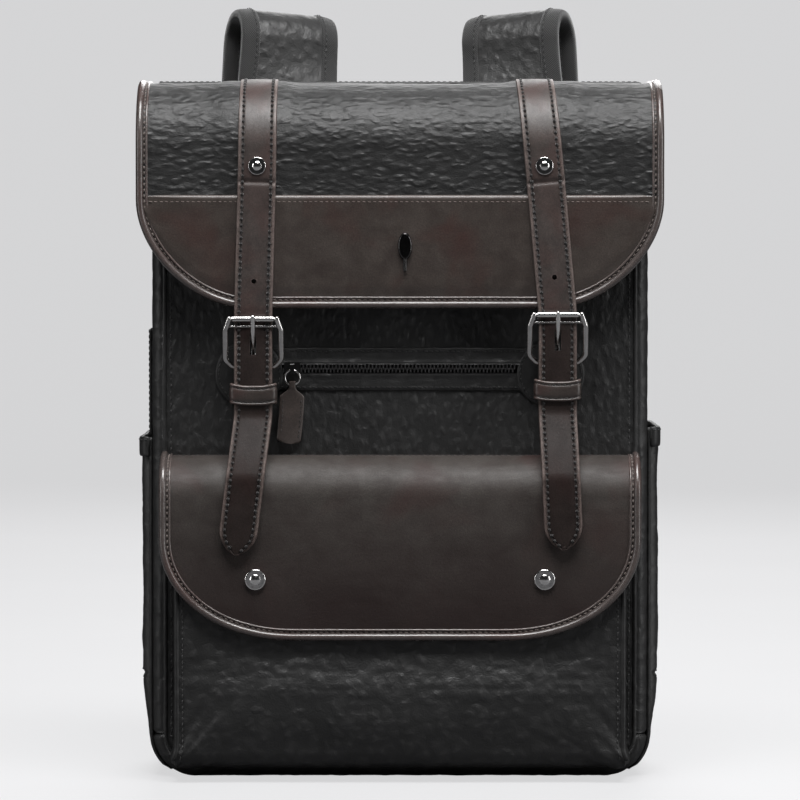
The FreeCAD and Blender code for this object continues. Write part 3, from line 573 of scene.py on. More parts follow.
def crinkled_leather(name, stretch=(1, 1, 1), tone=1.0, depth=1.0):
    """Black leather with long soft wrinkles, pebbled cells between them and fine pores; its colour carries
    painted shade in the creases and a painted highlight on the crests.
    """
    look = Look(name)
    place_at = look.coordinates(stretch)
    warp = look.node("TexNoise", {"Vector": place_at, "Scale": 90.0, "Detail": 2.0}).outputs["Color"]
    bent = look.node("VectorMath", {0: warp, 1: (0.5, 0.5, 0.5)}, operation="SUBTRACT").outputs[0]
    bent = look.node("VectorMath", {0: bent, "Scale": 0.008}, operation="SCALE").outputs[0]
    moved = look.node("VectorMath", {0: place_at, 1: bent}, operation="ADD").outputs[0]
    folds = look.range(look.noise(moved, 74.0, 2.0, 0.45, "RIDGED_MULTIFRACTAL"), 0.2, 1.6)
    cells = look.range(look.cells(moved, 165.0, "SMOOTH_F1"), 0.55, 0.05)
    small = look.range(look.cells(moved, 520.0), 0.0, 0.3)
    fine = look.noise(place_at, 1300.0, 2.0, 0.5)
    broad = look.noise(place_at, 14.0, 2.0)
    height = look.math("MULTIPLY_ADD", folds, -0.75, look.math("MULTIPLY", cells, 0.62))
    height = look.math("MULTIPLY_ADD", small, 0.075, height)
    bumpy = look.math("MULTIPLY_ADD", fine, 0.035, height)
    # colour by height: painted shade darkens the creases and a painted highlight lightens the crests
    crease, face, crest_highlight = (0.0035, 0.0035, 0.0035), (0.013, 0.0128, 0.0128), (0.026, 0.0255, 0.025)
    color = look.ramp(height, (0.0, toned(crease, tone)), (0.5, toned(face, tone)), (1.0, toned(crest_highlight, tone)))
    handled = toned((0.018, 0.0176, 0.0174), tone)
    color = look.mix(look.range(broad, 0.3, 0.7, 0.0, 0.35), color, handled)
    rough = look.range(look.math("ADD", look.math("MULTIPLY", height, 0.3), broad), 0.2, 1.1, 0.58, 0.44)
    return look.surface(color, rough, look.bump(bumpy, 0.0008 * depth), specular=0.5)


def smooth_leather(name, light=(0.050, 0.041, 0.036), dark=(0.026, 0.019, 0.016), red=(0.040, 0.016, 0.013),
                   patch=70.0, gloss=0.36, burgundy_and_shade=None, coat=0.10, bead=None, shade_tail=None, specular=0.5):
    """Dark brown waxed leather with soft cloudy patches, a red cast in places and very fine pores.

    burgundy_and_shade gives the distances down the piece, in metres, between which it darkens to burgundy
    black, partly the leather's own burgundy tone and partly painted shade on its lower part. bead gives the
    distances from a strap's middle line between which its rubbed edge grows lighter, shade_tail those down
    its length between which its colour darkens as painted shade and its reflection weakens.
    """
    look = Look(name)
    place_at = look.coordinates()
    cloud = look.noise(place_at, patch, 5.0, 0.6, warp=0.4)
    second = look.noise(place_at, patch * 0.3, 3.0, 0.5, warp=0.8)
    between = tuple((a + b) / 2 for a, b in zip(light, dark))
    color = look.ramp(cloud, (0.30, dark), (0.5, between), (0.70, light))
    color = look.mix(look.range(second, 0.52, 0.70, 0.0, 0.6), color, red)
    # darkens the colour to burgundy black down the piece: partly the leather's own burgundy tone, partly
    # painted shade on its lower part
    if burgundy_and_shade:
        down = look.part(place_at, 1)
        deep = look.math("MULTIPLY_ADD", look.range(second, 0.3, 0.7), 0.03, down)
        color = look.mix(look.range(deep, -burgundy_and_shade[0], -burgundy_and_shade[1], 0.0, 0.9), color, (0.010, 0.0036, 0.0030))
    # painted shade: past the given distance along the strap, towards its free end, the colour darkens and the
    # specular reflection weakens
    if shade_tail:
        along = look.part(place_at, 0)
        color = look.mix(look.range(along, shade_tail[0], shade_tail[1], 0.0, 0.72), color, (0.0105, 0.0065, 0.0058))
        specular = look.range(along, shade_tail[0], shade_tail[1], specular, specular * 0.4)
    if bead:
        aside = look.math("ABSOLUTE", look.part(place_at, 1))
        rubbed = look.range(look.noise(place_at, 240.0, 3.0, 0.6), 0.3, 0.7, 0.25, 0.9)
        share = look.math("MULTIPLY", look.range(aside, bead[0], bead[1]), rubbed)
        color = look.mix(share, color, toned(light, 2.6))
    pores = look.cells(place_at, 1900.0)
    grain = look.noise(place_at, 600.0, 5.0, 0.65)
    scuff = look.noise(look.coordinates((1, 6, 1)), 60.0, 5.0, 0.65)
    worn = look.range(look.edge_wear(), 0.52, 0.62)
    color = look.mix(look.math("MULTIPLY", worn, 0.6), color, (0.14, 0.105, 0.095))
    speck = look.range(look.noise(place_at, 1100.0, 2.0, 0.5), 0.35, 0.65, 0.8, 1.2)
    gray = look.node("CombineXYZ", {0: speck, 1: speck, 2: speck}).outputs[0]
    color = look.mix(1.0, color, gray, "MULTIPLY")
    height = look.math("MULTIPLY_ADD", pores, 0.5, look.math("MULTIPLY", grain, 0.9))
    rough = look.range(look.math("ADD", scuff, cloud), 0.7, 1.3, gloss + 0.10, gloss - 0.05)
    return look.surface(color, rough, look.bump(height, 0.00013), specular=specular, coat=coat)


def woven(name, warp_color, weft_color, pitch, rough=0.8):
    """Plain weave of two thread directions."""
    look = Look(name)
    place_at = look.coordinates()
    turn = 2 * math.pi / pitch
    rows = look.math("SINE", look.math("MULTIPLY", look.part(place_at, 0), turn))
    columns = look.math("SINE", look.math("MULTIPLY", look.part(place_at, 1), turn))
    weave = look.math("MULTIPLY", rows, columns)
    height = look.range(weave, -1.0, 1.0)
    fuzz = look.noise(place_at, 900.0, 3.0, 0.6)
    color = look.mix(height, warp_color, weft_color)
    color = look.mix(look.range(fuzz, 0.3, 0.7, 0.0, 0.3), color, toned(weft_color, 1.5))
    both = look.math("MULTIPLY_ADD", fuzz, 0.4, height)
    return look.surface(color, rough, look.bump(both, pitch * 0.2), sheen=0.3, specular=0.25)


def honeycomb(name):
    """Spacer mesh: round holes in a hexagonal net of soft black yarn."""
    look = Look(name)
    place_at = look.coordinates()
    holes = look.node("TexVoronoi", {"Vector": place_at, "Scale": 330.0, "Randomness": 0.12}, feature="F1")
    net = look.range(holes.outputs["Distance"], 0.25, 0.52)
    fuzz = look.noise(place_at, 1300.0, 3.0, 0.6)
    color = look.mix(net, (0.004, 0.004, 0.004), (0.034, 0.034, 0.036))
    height = look.math("MULTIPLY_ADD", fuzz, 0.2, net)
    return look.surface(color, 0.75, look.bump(height, 0.0009), sheen=0.25, specular=0.3)


def metal(name, color, rough, brushed=0.0):
    """Plated metal with faint handling marks and duller creases."""
    look = Look(name)
    place_at = look.coordinates((1, 1, 1 + 8 * brushed), flow=False)
    marks = look.noise(place_at, 700.0, 5.0, 0.7)
    tarnish = look.noise(place_at, 160.0, 3.0, 0.6)
    shade = look.mix(look.range(tarnish, 0.45, 0.75, 0.0, 0.35), color, toned(color, 0.45))
    gloss = look.range(marks, 0.3, 0.75, rough, rough + 0.14)
    return look.surface(shade, gloss, look.bump(marks, 0.00002), metal=1.0)


def moulded(name):
    """Black moulded plastic with a fine even grain."""
    look = Look(name)
    place_at = look.coordinates(flow=False)
    grain = look.noise(place_at, 2200.0, 2.0, 0.6)
    tint = look.noise(place_at, 60.0, 2.0)
    color = look.mix(look.range(tint, 0.3, 0.7), (0.014, 0.014, 0.015), (0.022, 0.022, 0.022))
    rough = look.range(grain, 0.3, 0.7, 0.42, 0.55)
    return look.surface(color, rough, look.bump(grain, 0.00006))


def thread(name, color):
    """Twisted, waxed sewing thread."""
    look = Look(name)
    place_at = look.coordinates((1, 1, 1))
    twist = look.node("TexWave", {"Vector": place_at, "Scale": 900.0, "Distortion": 1.0}).outputs["Fac"]
    shade = look.mix(look.range(twist, 0.2, 0.8), toned(color, 0.6), color)
    return look.surface(shade, 0.55, look.bump(twist, 0.0001), specular=0.4, sheen=0.2)


BLACK = crinkled_leather("black_leather")
BLACK_ACROSS = crinkled_leather("black_leather_across", (1.0, 1.9, 1.0))
BLACK_DOWN = crinkled_leather("black_leather_down", (1.7, 1.0, 1.0))
BLACK_FLAT = crinkled_leather("black_leather_flat", depth=0.6, tone=0.9)
BROWN = smooth_leather("brown_leather", burgundy_and_shade=(0.21, 0.335))
# the pocket flap darkens towards its lower edge, partly its own burgundy tone and partly painted shade
BROWN_LOW = smooth_leather(
    "brown_leather_low", light=(0.044, 0.038, 0.034), dark=(0.024, 0.018, 0.0155), red=(0.03, 0.012, 0.010),
    patch=60.0, gloss=0.56, burgundy_and_shade=(0.034, 0.105), coat=0.0, specular=0.36)
EDGE = smooth_leather(
    "edge_leather", light=(0.066, 0.056, 0.053), dark=(0.036, 0.029, 0.027), red=(0.05, 0.026, 0.023),
    patch=60.0, gloss=0.22, coat=0.4)
# the strap's colour past its buckle is painted darker as shade
STRAP = smooth_leather(
    "strap_leather", light=(0.056, 0.044, 0.040), dark=(0.022, 0.0165, 0.0145), red=(0.046, 0.022, 0.019),
    patch=90.0, gloss=0.43, coat=0.0, bead=(0.0086, 0.0108), shade_tail=(0.196, 0.214))
TAB = smooth_leather(
    "tab_leather", light=(0.046, 0.036, 0.032), dark=(0.022, 0.0165, 0.0145), red=(0.046, 0.022, 0.019),
    patch=90.0)
NICKEL = metal("nickel", (0.72, 0.71, 0.70), 0.09)
GUNMETAL = metal("gunmetal", (0.50, 0.49, 0.48), 0.13, 0.3)
DARK_METAL = metal("dark_metal", (0.055, 0.055, 0.055), 0.26, 0.3)
BADGE = metal("badge_metal", (0.055, 0.053, 0.053), 0.16)
LINING = woven("lining_fabric", (0.030, 0.026, 0.022), (0.050, 0.044, 0.038), 0.0009)
WEBBING = woven("webbing", (0.010, 0.010, 0.011), (0.022, 0.022, 0.023), 0.0022, 0.7)
TAPE = woven("tape", (0.008, 0.008, 0.008), (0.019, 0.019, 0.019), 0.0014, 0.65)
MESH = honeycomb("air_mesh")
PLASTIC = moulded("black_plastic")
DARK_THREAD = thread("dark_thread", (0.006, 0.0035, 0.003))
BLACK_THREAD = thread("black_thread", (0.008, 0.008, 0.008))
BROWN_THREAD = thread("brown_thread", (0.17, 0.135, 0.12))
GRAY_THREAD = thread("gray_thread", (0.03, 0.029, 0.028))


def finish_cad(material, *nodes):
    """Gives CAD nodes that are shown as they are their real material."""
    for name in nodes:
        piece = frame["nodes"][name]
        piece.data.materials.clear()
        piece.data.materials.append(material)


# ---------------------------------------------------------------- outlines

class Apron:
    """A sheet that follows a bend and has straight sides, swept lower corners and a flat bottom.

    x runs across and s down the bend. relief(x, s) is its slow rise and fall, shared by all its layers.
    """

    def __init__(self, bend, half, corner, pull, relief=None, flip=False):
        self.bend, self.half, self.corner, self.pull = bend, half, corner, pull
        self.relief = relief or (lambda x, s: 0 * x)
        self.hand = -1.0 if flip else 1.0

    def point(self, x, s, lift=0.0):
        p, n = self.bend.at(s)
        n = n * self.hand
        out = np.stack([0 * x, n[..., 0], n[..., 1]], -1)
        rise = np.asarray(lift + self.relief(x, s))[..., None]
        return np.stack([x, p[..., 0], p[..., 1]], -1) + out * rise, out

    def corner_curve(self, inset, count=30):
        """(x, s) of the right corner, from the straight side to the flat bottom."""
        wide, tall = self.corner[0], self.corner[1] - inset * 0.4
        half, end = self.half - inset, self.bend.length - inset
        a, b = np.array([half, end - tall]), np.array([half, end - tall * self.pull[1]])
        c, d = np.array([half - wide * self.pull[0], end]), np.array([half - wide, end])
        t = np.linspace(0, 1, count)[:, None]
        return (1 - t) ** 3 * a + 3 * t * (1 - t) ** 2 * b + 3 * t * t * (1 - t) * c + t ** 3 * d

    def grid(self, inset, first, last=None, pitch=1.6):
        """x and s of a grid whose columns run down the sheet; last None ends it on the outline."""
        corner = self.corner_curve(inset)
        middle = steps(-corner[-1, 0], corner[-1, 0], pitch)[1:-1]
        x = np.concatenate([-corner[:, 0], middle, corner[::-1, 0]])
        end = np.concatenate([corner[:, 1], np.full(len(middle), corner[-1, 1]), corner[::-1, 1]])
        if last is not None:
            end = np.minimum(end, last)
        rows = max(3, int((end.max() - first) / pitch))
        v = np.linspace(0, 1, rows)[:, None]
        s = first + (end[None] - first) * v
        return np.repeat(x[None], rows, 0), s

    def panel(self, name, material, thickness, inset, first, last=None, folds=None, lift=0.0, pitch=1.6,
              rounding=1.0):
        """A sheet from first down the bend to last, or to the outline; lift raises it away from its rim."""
        x, s = self.grid(inset, first, last, pitch)
        points, out = self.point(x, s, 0.0)
        down, across = arc_lengths(points, 0), arc_lengths(points, 1)
        rim = np.minimum(down[-1:] - down, np.minimum(across, across[:, -1:] - across))
        extra = lift * smooth((rim - 3.0) / 9.0) if lift > 0 else lift
        if folds:
            extra = extra + folds(points, edge_distance(points))
        flow = np.stack([x, -s, 0 * x], -1)
        return slab(name, points, thickness, material, out, rounding, flow, extra)

    def rim(self, inset, start, pitch=1.5):
        """(x, s) line along the outline from the upper left, round the bottom, to the upper right."""
        right = np.vstack([[(self.half, start)], self.corner_curve(0.0)])
        line = even(np.vstack([right * [-1, 1], right[::-1]]), pitch)
        upright = line * [1, -1]
        return line + (inward(upright, inset) - upright) * [1, -1]

    def rim_path(self, inset, start=0.0, lift=0.0):
        line = self.rim(inset, start)
        return self.point(line[:, 0], line[:, 1], lift)


def crinkle(size, amount, seed, edge=9.0, sharp=1.6):
    """Leather wrinkles for an outer face: soft pillows of the given size between creases; seams stay flat."""
    def lift(points, near):
        folds = creases(points, size, seed) ** sharp
        return (0.45 - folds) * amount * smooth(near / edge)
    return lift


# ---------------------------------------------------------------- main flap

FLAP_LOW, FLAP_HIGH = span("flap_binding")
UPPER_LOW, UPPER_HIGH = span("flap_upper_panel")
FLAP_TOP, FLAP_FRONT = UPPER_HIGH[2], UPPER_LOW[1]
FLAP_BACK, FLAP_BOTTOM = UPPER_HIGH[1], FLAP_LOW[2]
FLAP_SEAM = span("flap_lower_panel")[1][2]
FLAP_BEND = Bend([(FLAP_BACK, FLAP_TOP), (FLAP_FRONT, FLAP_TOP), (FLAP_FRONT, FLAP_BOTTOM)], [40.0])
RIM_INSET = 3.3             # from a flap's outline to the middle line of its binding
RIM_START = 0.6             # where a flap's binding begins, down from its back edge
PANEL_INSET = 2.2           # how far a flap's panels tuck under its binding


def clear_of_straps(x):
    """0 under the closing straps, 1 away from them."""
    return smooth((np.minimum(np.abs(x + 87), np.abs(x - 88)) - 16) / 12)


def flap_relief(x, s):
    at = np.stack([x, s, 0 * x], -1)
    wave = noise(at, (62.0, 44.0, 9.0), 21) - 1.0
    low = smooth((s - FLAP_BEND.length + 60) / 50) * noise(at, (40.0, 60.0, 9.0), 23) * 0.9
    return (wave + low) * clear_of_straps(x) * smooth(s / 30)


FLAP = Apron(FLAP_BEND, FLAP_HIGH[0], (68.0, 65.0), (0.51, 0.5), flap_relief)


def flap_s(z):
    """Distance down the flap of a height on its front."""
    return FLAP_BEND.length - (z - FLAP_BOTTOM)


def flap_binding(name, body, flap, tall, node):
    """The rolled binding round a flap's outline and the row of light stitches in its groove."""
    path, out = flap.rim_path(RIM_INSET, RIM_START)
    roll = sweep(f"{name}_roll", path, out, binding_section(tall), EDGE, wobble=0.3)
    place(roll, body, "brown_edge_leather", node)
    row = stitch_row(f"{name}_stitches", path, out, BROWN_THREAD, offset=-1.5, lift=0.12, pitch=3.4,
                     length=2.3, radius=0.42)
    place(row, body, "brown_edge_leather")


def main_flap():
    seam = flap_s(FLAP_SEAM)
    long_folds = crinkle((13.0, 13.0, 3.8), 0.55, 3, 7.0, 1.5)
    upper = FLAP.panel("flap_upper", BLACK_ACROSS, 1.8, PANEL_INSET, 1.0, seam + 2.0, long_folds, pitch=1.3)
    place(upper, "main_flap", "black_leather", "flap_upper_panel")
    soft = crinkle((30.0, 30.0, 16.0), 0.45, 8, 20.0, 1.0)
    lower = FLAP.panel("flap_lower", BROWN, 1.9, PANEL_INSET, seam - 0.6, None, soft, 0.95, 1.5, 0.9)
    place(lower, "main_flap", "brown_leather", "flap_lower_panel")
    lining = FLAP.panel("flap_lining_sheet", LINING, 1.0, PANEL_INSET + 0.4, 1.5, lift=-2.0, pitch=3.0)
    place(lining, "main_flap", "lining_fabric", "flap_lining")
    flap_binding("flap_binding", "main_flap", FLAP, 3.6, "flap_binding")
    seam_x = steps(-FLAP_HIGH[0] + 7, FLAP_HIGH[0] - 7, 2.0)
    line, up = FLAP.point(seam_x, np.full(len(seam_x), seam + 3.4), 0.80)
    row = stitch_row("flap_seam_stitches", line, up, BROWN_THREAD, pitch=3.2, length=2.3)
    place(row, "main_flap", "brown_leather")


def flap_hinge_strip():
    """The leather that joins the flap's back edge to the back of the bag."""
    yoke = span("back_yoke")[1]
    back, yoke_top, over_flap = yoke[1] + 0.4, yoke[2], FLAP_TOP + 1.5
    bend = Bend([(FLAP_BACK - 14, over_flap), (back, over_flap), (back, yoke_top + 0.5)], [9.0])
    line = steps(-FLAP_HIGH[0] + 7.5, FLAP_HIGH[0] - 7.5, 2.0)
    s = steps(0, bend.length, 1.2)
    # the bend runs backwards here, so its right-hand normal points inwards and is turned over
    p, n = bend.at(s)
    x, row = np.meshgrid(line, np.arange(len(s)))
    points = np.stack([x, p[row, 0], p[row, 1]], -1)
    out = -np.stack([0 * x, n[row, 0], n[row, 1]], -1)
    folds = crinkle((12.0, 5.0, 5.0), 0.45, 12, 5.0)(points, edge_distance(points))
    strip = slab("flap_hinge_strip", points, 1.5, BLACK, out, 1.0, None, folds)
    start, end = (0, back, yoke_top + 10), (0, FLAP_BACK - 2, FLAP_TOP + 3)
    place_bent(strip, "bag", "main_flap", start, end, "black_leather")
    for i, at in enumerate((2.6, bend.length - 2.8)):
        p, n = bend.at(np.full(len(line), at))
        path = np.stack([line, p[:, 0], p[:, 1]], -1)
        up = -np.stack([0 * line, n[:, 0], n[:, 1]], -1)
        row = stitch_row(f"hinge_stitches_{i}", path, up, BLACK_THREAD, lift=0.05)
        place_bent(row, "bag", "main_flap", start, end, "black_leather")


# ---------------------------------------------------------------- closing straps and buckles

STRAP_WIDTH, PLY = 23.0, 2.6
STRAP_POINT = 15.0          # length of the pointed tip
STITCH_INSET = 3.0
RIVET_Z = middle("strap_rivets", 2)
ROLLER_Z = {n: middle(f"buckle_roller_{n}", 2) for n in SIDES}
ROLLER_Y = middle("buckle_roller_left", 1)
BUCKLE_X = {n: middle(f"buckle_frame_{n}", 0) for n in SIDES}
HEEL_DROP = 28.5            # from a buckle's roller down to its heel bar
HEEL_Y = pivot("buckle_pivot_left")[1]
HEEL_Z = {n: ROLLER_Z[n] - HEEL_DROP for n in SIDES}
STRAP_TOP_X = {"left": -85.0, "right": 81.0}
RIVET_X = {"left": -85.5, "right": 86.4}
TIP_X = {"left": -98.0, "right": 98.0}
TIP_Z = {n: span(f"strap_end_{n}")[0][2] for n in SIDES}
FLEX_Z = {n: HEEL_Z[n] - 30.0 for n in SIDES}


def strap_bend(name):
    """The strap from the side: over the flap, behind the roller, over the heel bar, onto the pocket flap."""
    roller, heel = ROLLER_Z[name], HEEL_Z[name]
    on_flap, over_edge = FLAP_FRONT - 0.2 - PLY / 2, FLAP_FRONT - 1.6 - PLY / 2
    behind, over_heel = ROLLER_Y + 2.35 + PLY / 2, HEEL_Y - 4.2 - PLY / 2
    free, top = span(f"strap_end_{name}")[0][1] + PLY / 2, FLAP_TOP - 1.9 + PLY / 2
    points = [(5.0, top), (on_flap, top), (on_flap, RIVET_Z - 30), (over_edge, FLAP_BOTTOM + 18)]
    points += [(over_edge, FLAP_BOTTOM), (behind, roller), (over_heel, heel + 2), (over_heel, heel - 30)]
    points += [(free, 184.0), (free, TIP_Z[name])]
    return Bend(points, [41.5, 14.0, 14.0, 5.0, 14.0, 14.0, 14.0, 14.0])


def rivet_swell(path, s):
    """The strap swells a little round its rivet and has a pressed line across it below."""
    above_line = path[:, 2] - RIVET_Z + 9.5
    rise = 0.45 * np.exp(-((above_line - 9.5) / 6.0) ** 2) - np.exp(-(above_line / 1.3) ** 2)
    return rise * (s > 40)


def closing_strap(name):
    bend = strap_bend(name)
    s = steps(0, bend.length, 1.0)
    p, n = bend.at(s)
    heights = [TIP_Z[name], FLEX_Z[name], ROLLER_Z[name], RIVET_Z, FLAP_TOP + 4]
    places = [TIP_X[name], BUCKLE_X[name], BUCKLE_X[name], RIVET_X[name], STRAP_TOP_X[name]]
    x = eased(np.interp(p[:, 1], heights, places)[:, None], 9)[:, 0]
    path = np.stack([x, p[:, 0], p[:, 1]], -1)
    out = np.stack([0 * x, n[:, 0], n[:, 1]], -1)
    left = bend.length - s
    ogive = (1 - (1 - np.clip(left, 0.2, STRAP_POINT) / STRAP_POINT) ** 2) ** 0.62
    half = STRAP_WIDTH / 2 * ogive
    section = np.stack([strap_section(2 * h, PLY) for h in half])
    worn = 0.35 * noise(path, (30.0, 30.0, 22.0), 31) + rivet_swell(path, s)
    section[:, :, 1] += worn[:, None] * (section[:, :, 1] > 0)
    piece = sweep(f"closing_strap_{name}", path, out, section, STRAP)
    bx, roller, heel = BUCKLE_X[name], ROLLER_Z[name], HEEL_Z[name]
    hole_x, hole_z = bx + (RIVET_X[name] - bx) * 0.25, roller + 22.5
    hole = rod_mesh((hole_x, FLAP_FRONT - 20, hole_z), (hole_x, FLAP_FRONT + 1.0, hole_z), 1.5)
    prong_slot = box_mesh((bx - 2.0, HEEL_Y - 30, heel + 7), (bx + 2.0, HEEL_Y + 9, roller - 10))
    boolean_cut(piece, [hole, prong_slot])
    start, end = (bx, path[0][1], FLEX_Z[name] + 9), (bx, path[0][1], FLEX_Z[name] - 9)
    place_bent(piece, "main_flap", f"strap_end_{name}", start, end, "strap_leather",
               f"flap_strap_{name}", f"strap_end_{name}")
    _, across, up = frames(path, out)
    keep = half > STITCH_INSET + 0.6
    for i, hand in enumerate((-1, 1)):
        rail = path + across * ((half - STITCH_INSET) * hand)[:, None] + up * (PLY / 2 - 0.16)
        row = stitch_row(f"strap_stitches_{name}_{i}", rail[keep], up[keep], DARK_THREAD, lift=0.3, pitch=3.7,
                         length=2.2, radius=0.9)
        place_bent(row, "main_flap", f"strap_end_{name}", start, end, "strap_leather")


def chape(name):
    """The leather folded round the heel bar, its two plies sewn together below."""
    bx, heel = BUCKLE_X[name], HEEL_Z[name]
    low, high = span(f"chape_{name}")
    thick = 1.6
    back = high[1] - thick / 2
    front = back - thick - 0.3
    ring = 3.6 - thick / 2
    over_bar = HEEL_Y - ring
    points = [(back, low[2] + 1.0), (back, heel + ring + 0.2), (over_bar, heel + ring)]
    points += [(over_bar, heel - ring), (front, heel - 9.0), (front, low[2] + 1.6)]
    bend = Bend(points, [2.4, 2.6, 2.6, 4.0], 0.4)
    s = steps(0, bend.length, 0.7)
    p, n = bend.at(s)
    path = np.stack([np.full(len(s), bx), p[:, 0], p[:, 1]], -1)
    out = -np.stack([0 * s, n[:, 0], n[:, 1]], -1)
    width = high[0] - low[0]
    piece = sweep(f"chape_fold_{name}", path, out, strap_section(width, thick, 2.6, 0.2), TAB)
    boolean_cut(piece, [box_mesh((bx - 2.6, HEEL_Y - 12, heel - 5), (bx + 2.6, back - 1.0, heel + 12.5))])
    place(piece, "main_flap", "strap_leather", f"chape_{name}")


def keeper(name):
    """The sewn loop that holds the strap's free end; its front ply sags between its ends."""
    low, high = span(f"keeper_{name}")
    cx, cy, cz = (low + high) / 2
    wall = 1.6
    hx, hy = (high[0] - low[0]) / 2 - wall / 2, (high[1] - low[1]) / 2 - wall / 2
    bend = Bend([(0, -hy), (hx, -hy), (hx, hy), (-hx, hy), (-hx, -hy), (0, -hy)], [2.2] * 4, 0.4)
    s = np.linspace(0, bend.length, 150, endpoint=False)
    p, n = bend.at(s)
    path = np.stack([cx + p[:, 0], cy + p[:, 1], np.full(len(s), cz)], -1)
    sag = 1.5 * np.abs((path[:, 0] - cx) / hx) ** 3 - 0.4
    path[:, 2] += sag * (p[:, 1] < 0)
    out = np.stack([n[:, 0], n[:, 1], 0 * s], -1)
    tall = high[2] - low[2]
    piece = sweep(f"keeper_loop_{name}", path, out, strap_section(tall, wall, 2.0, 0.3), TAB, loop=True)
    place(piece, f"keeper_{name}", "strap_leather", f"keeper_{name}")
    face = np.abs(path[:, 1] - (cy - hy)) < 0.05
    order = np.argsort(path[face][:, 0])
    rail, up = path[face][order], out[face][order]
    for i, hand in enumerate((-1, 1)):
        row = stitch_row(f"keeper_stitches_{name}_{i}", rail, up, DARK_THREAD, hand * (tall / 2 - 2.0),
                         wall / 2 - 0.1, 3.1, 2.1, 0.36)
        place(row, f"keeper_{name}", "strap_leather")


# ---------------------------------------------------------------- body

BODY_HALF, BODY_FRONT = span("front_panel")[1][0], span("front_panel")[0][1]
BODY_BACK, BACK_TOP = span("back_panel")[1][1], span("back_panel")[1][2]
RIM = span("front_panel")[1][2]
CORNER = 26.0               # radius of the body's lower corners
SEAM_IN = 8.0               # how far the boxing rolls onto the front and the back
CIRCLE = 0.448              # pull of a cubic curve that follows a quarter circle
LEATHER = 2.6


def front_relief(x, s):
    at = np.stack([x, s, 0 * x], -1)
    near_edge = smooth((np.abs(x) - 96) / 40)
    return noise(at, (17.0, 60.0, 9.0), 41) * 1.5 * near_edge - 0.5


def body_apron(y, top, relief=None, flip=False):
    bend = Bend([(y, top), (y, SEAM_IN + 0.6)], [])
    curve = CORNER - SEAM_IN
    return Apron(bend, BODY_HALF - SEAM_IN, (curve, curve), (CIRCLE, CIRCLE), relief, flip)


def body_seam(name, apron, piping_start, stitch_start):
    """The piping round a body panel and the row of stitches inside it."""
    path, out = apron.rim_path(0.0, piping_start, -0.3)
    on_bag(sweep(f"{name}_piping", path, out, bean(2.7, 2.7, 2.0, 12), BLACK_FLAT, wobble=0.12))
    path, out = apron.rim_path(3.6, stitch_start)
    on_bag(stitch_row(f"{name}_seam_stitches", path, out, BLACK_THREAD, lift=0.1, pitch=3.8))


def front_and_back():
    face = body_apron(BODY_FRONT, RIM, front_relief)
    upright = crinkle((6.0, 9.0, 20.0), 0.8, 44, 8.0, 1.6)
    panel = face.panel("front_face", BLACK_DOWN, LEATHER, 0.4, 0.0, None, upright, rounding=1.2)
    low, high = span("zip_teeth")
    window = ((low[0] - 1, BODY_FRONT - 9, low[2] - 1.6), (high[0] + 1, BODY_FRONT + 9, high[2] + 1.6))
    boolean_cut(panel, [box_mesh(*window)])
    on_bag(panel, "front_panel")
    body_seam("front", face, 14.0, 16.0)
    back = body_apron(BODY_BACK, BACK_TOP, None, True)
    folds = crinkle((14.0, 9.0, 9.0), 0.4, 46)
    panel = back.panel("back_face", BLACK, LEATHER, 0.4, 0.0, None, folds, pitch=2.2, rounding=1.2)
    on_bag(panel, "back_panel")
    body_seam("back", back, 30.0, 30.0)


def boxing():
    """The strip round both sides and the base: its long edges roll onto the front and back."""
    half, low = BODY_HALF, 0.3
    around = Bend([(-half, RIM), (-half, low), (half, low), (half, RIM)], [CORNER, CORNER], 1.5)
    edge = SEAM_IN
    turn = np.linspace(0, math.pi / 2, 7)
    front = [(BODY_FRONT + edge - edge * math.cos(t), edge - edge * math.sin(t)) for t in turn]
    back = [(-y + BODY_FRONT + BODY_BACK, h) for y, h in front[::-1]]
    flat = [(y, 0.0) for y in steps(front[-1][0], back[0][0], 2.4)[1:-1]]
    profile = np.array(front + flat + back)
    turn_up = span("base_panel")[1][2]
    side_end = RIM - turn_up
    cuts = {"left_gusset": (0, side_end), "base_panel": (side_end + 0.6, around.length - side_end - 0.6),
            "right_gusset": (around.length - side_end, around.length)}
    for name, (first, last) in cuts.items():
        s = steps(first, last, 2.0)
        p, n = around.at(s)
        y, inset = profile[:, 0][None], profile[:, 1][None]
        at_x = p[:, :1] - n[:, :1] * inset
        at_z = p[:, 1:] - n[:, 1:] * inset
        points = np.stack([at_x, np.repeat(y, len(s), 0), at_z], -1)
        out = grid_normals(points)
        centre = (len(s) // 2, len(profile) // 2)
        if out[centre] @ (points[centre] - [0, 0, 200.0]) < 0:
            out = -out
        folds = crinkle((9.0, 9.0, 13.0), 0.55, 51, 5.0, 1.8)(points, edge_distance(points))
        on_bag(slab(name + "_skin", points, LEATHER, BLACK, out, 0.8, None, folds), name)


def rim_hem():
    """A folded strip sewn over the rim of the front and sides."""
    low, high = span("rim_hem")
    hx, hy, back = BODY_HALF - 1.5, -BODY_FRONT - 1.5, high[1] - 1.0
    bend = Bend([(-hx, back), (-hx, -hy), (hx, -hy), (hx, back)], [9.0, 9.0], 1.5)
    s = steps(0, bend.length, 2.0)
    p, n = bend.at(s)
    wide, deep = high[2] - low[2], 5.4
    path = np.stack([p[:, 0], p[:, 1], np.full(len(s), middle("rim_hem", 2))], -1)
    out = -np.stack([n[:, 0], n[:, 1], 0 * s], -1)
    outward = out if out[0][0] < 0 else -out
    on_bag(sweep("rim_hem_fold", path, outward, bean(wide, deep, 5.0, 28), BLACK, wobble=0.4), "rim_hem")
    for name, offset in (("rim_stitches", 4.6), ("rim_stitches_2", -4.6)):
        on_bag(stitch_row(name, path, outward, BLACK_THREAD, offset, deep / 2 + 0.05))


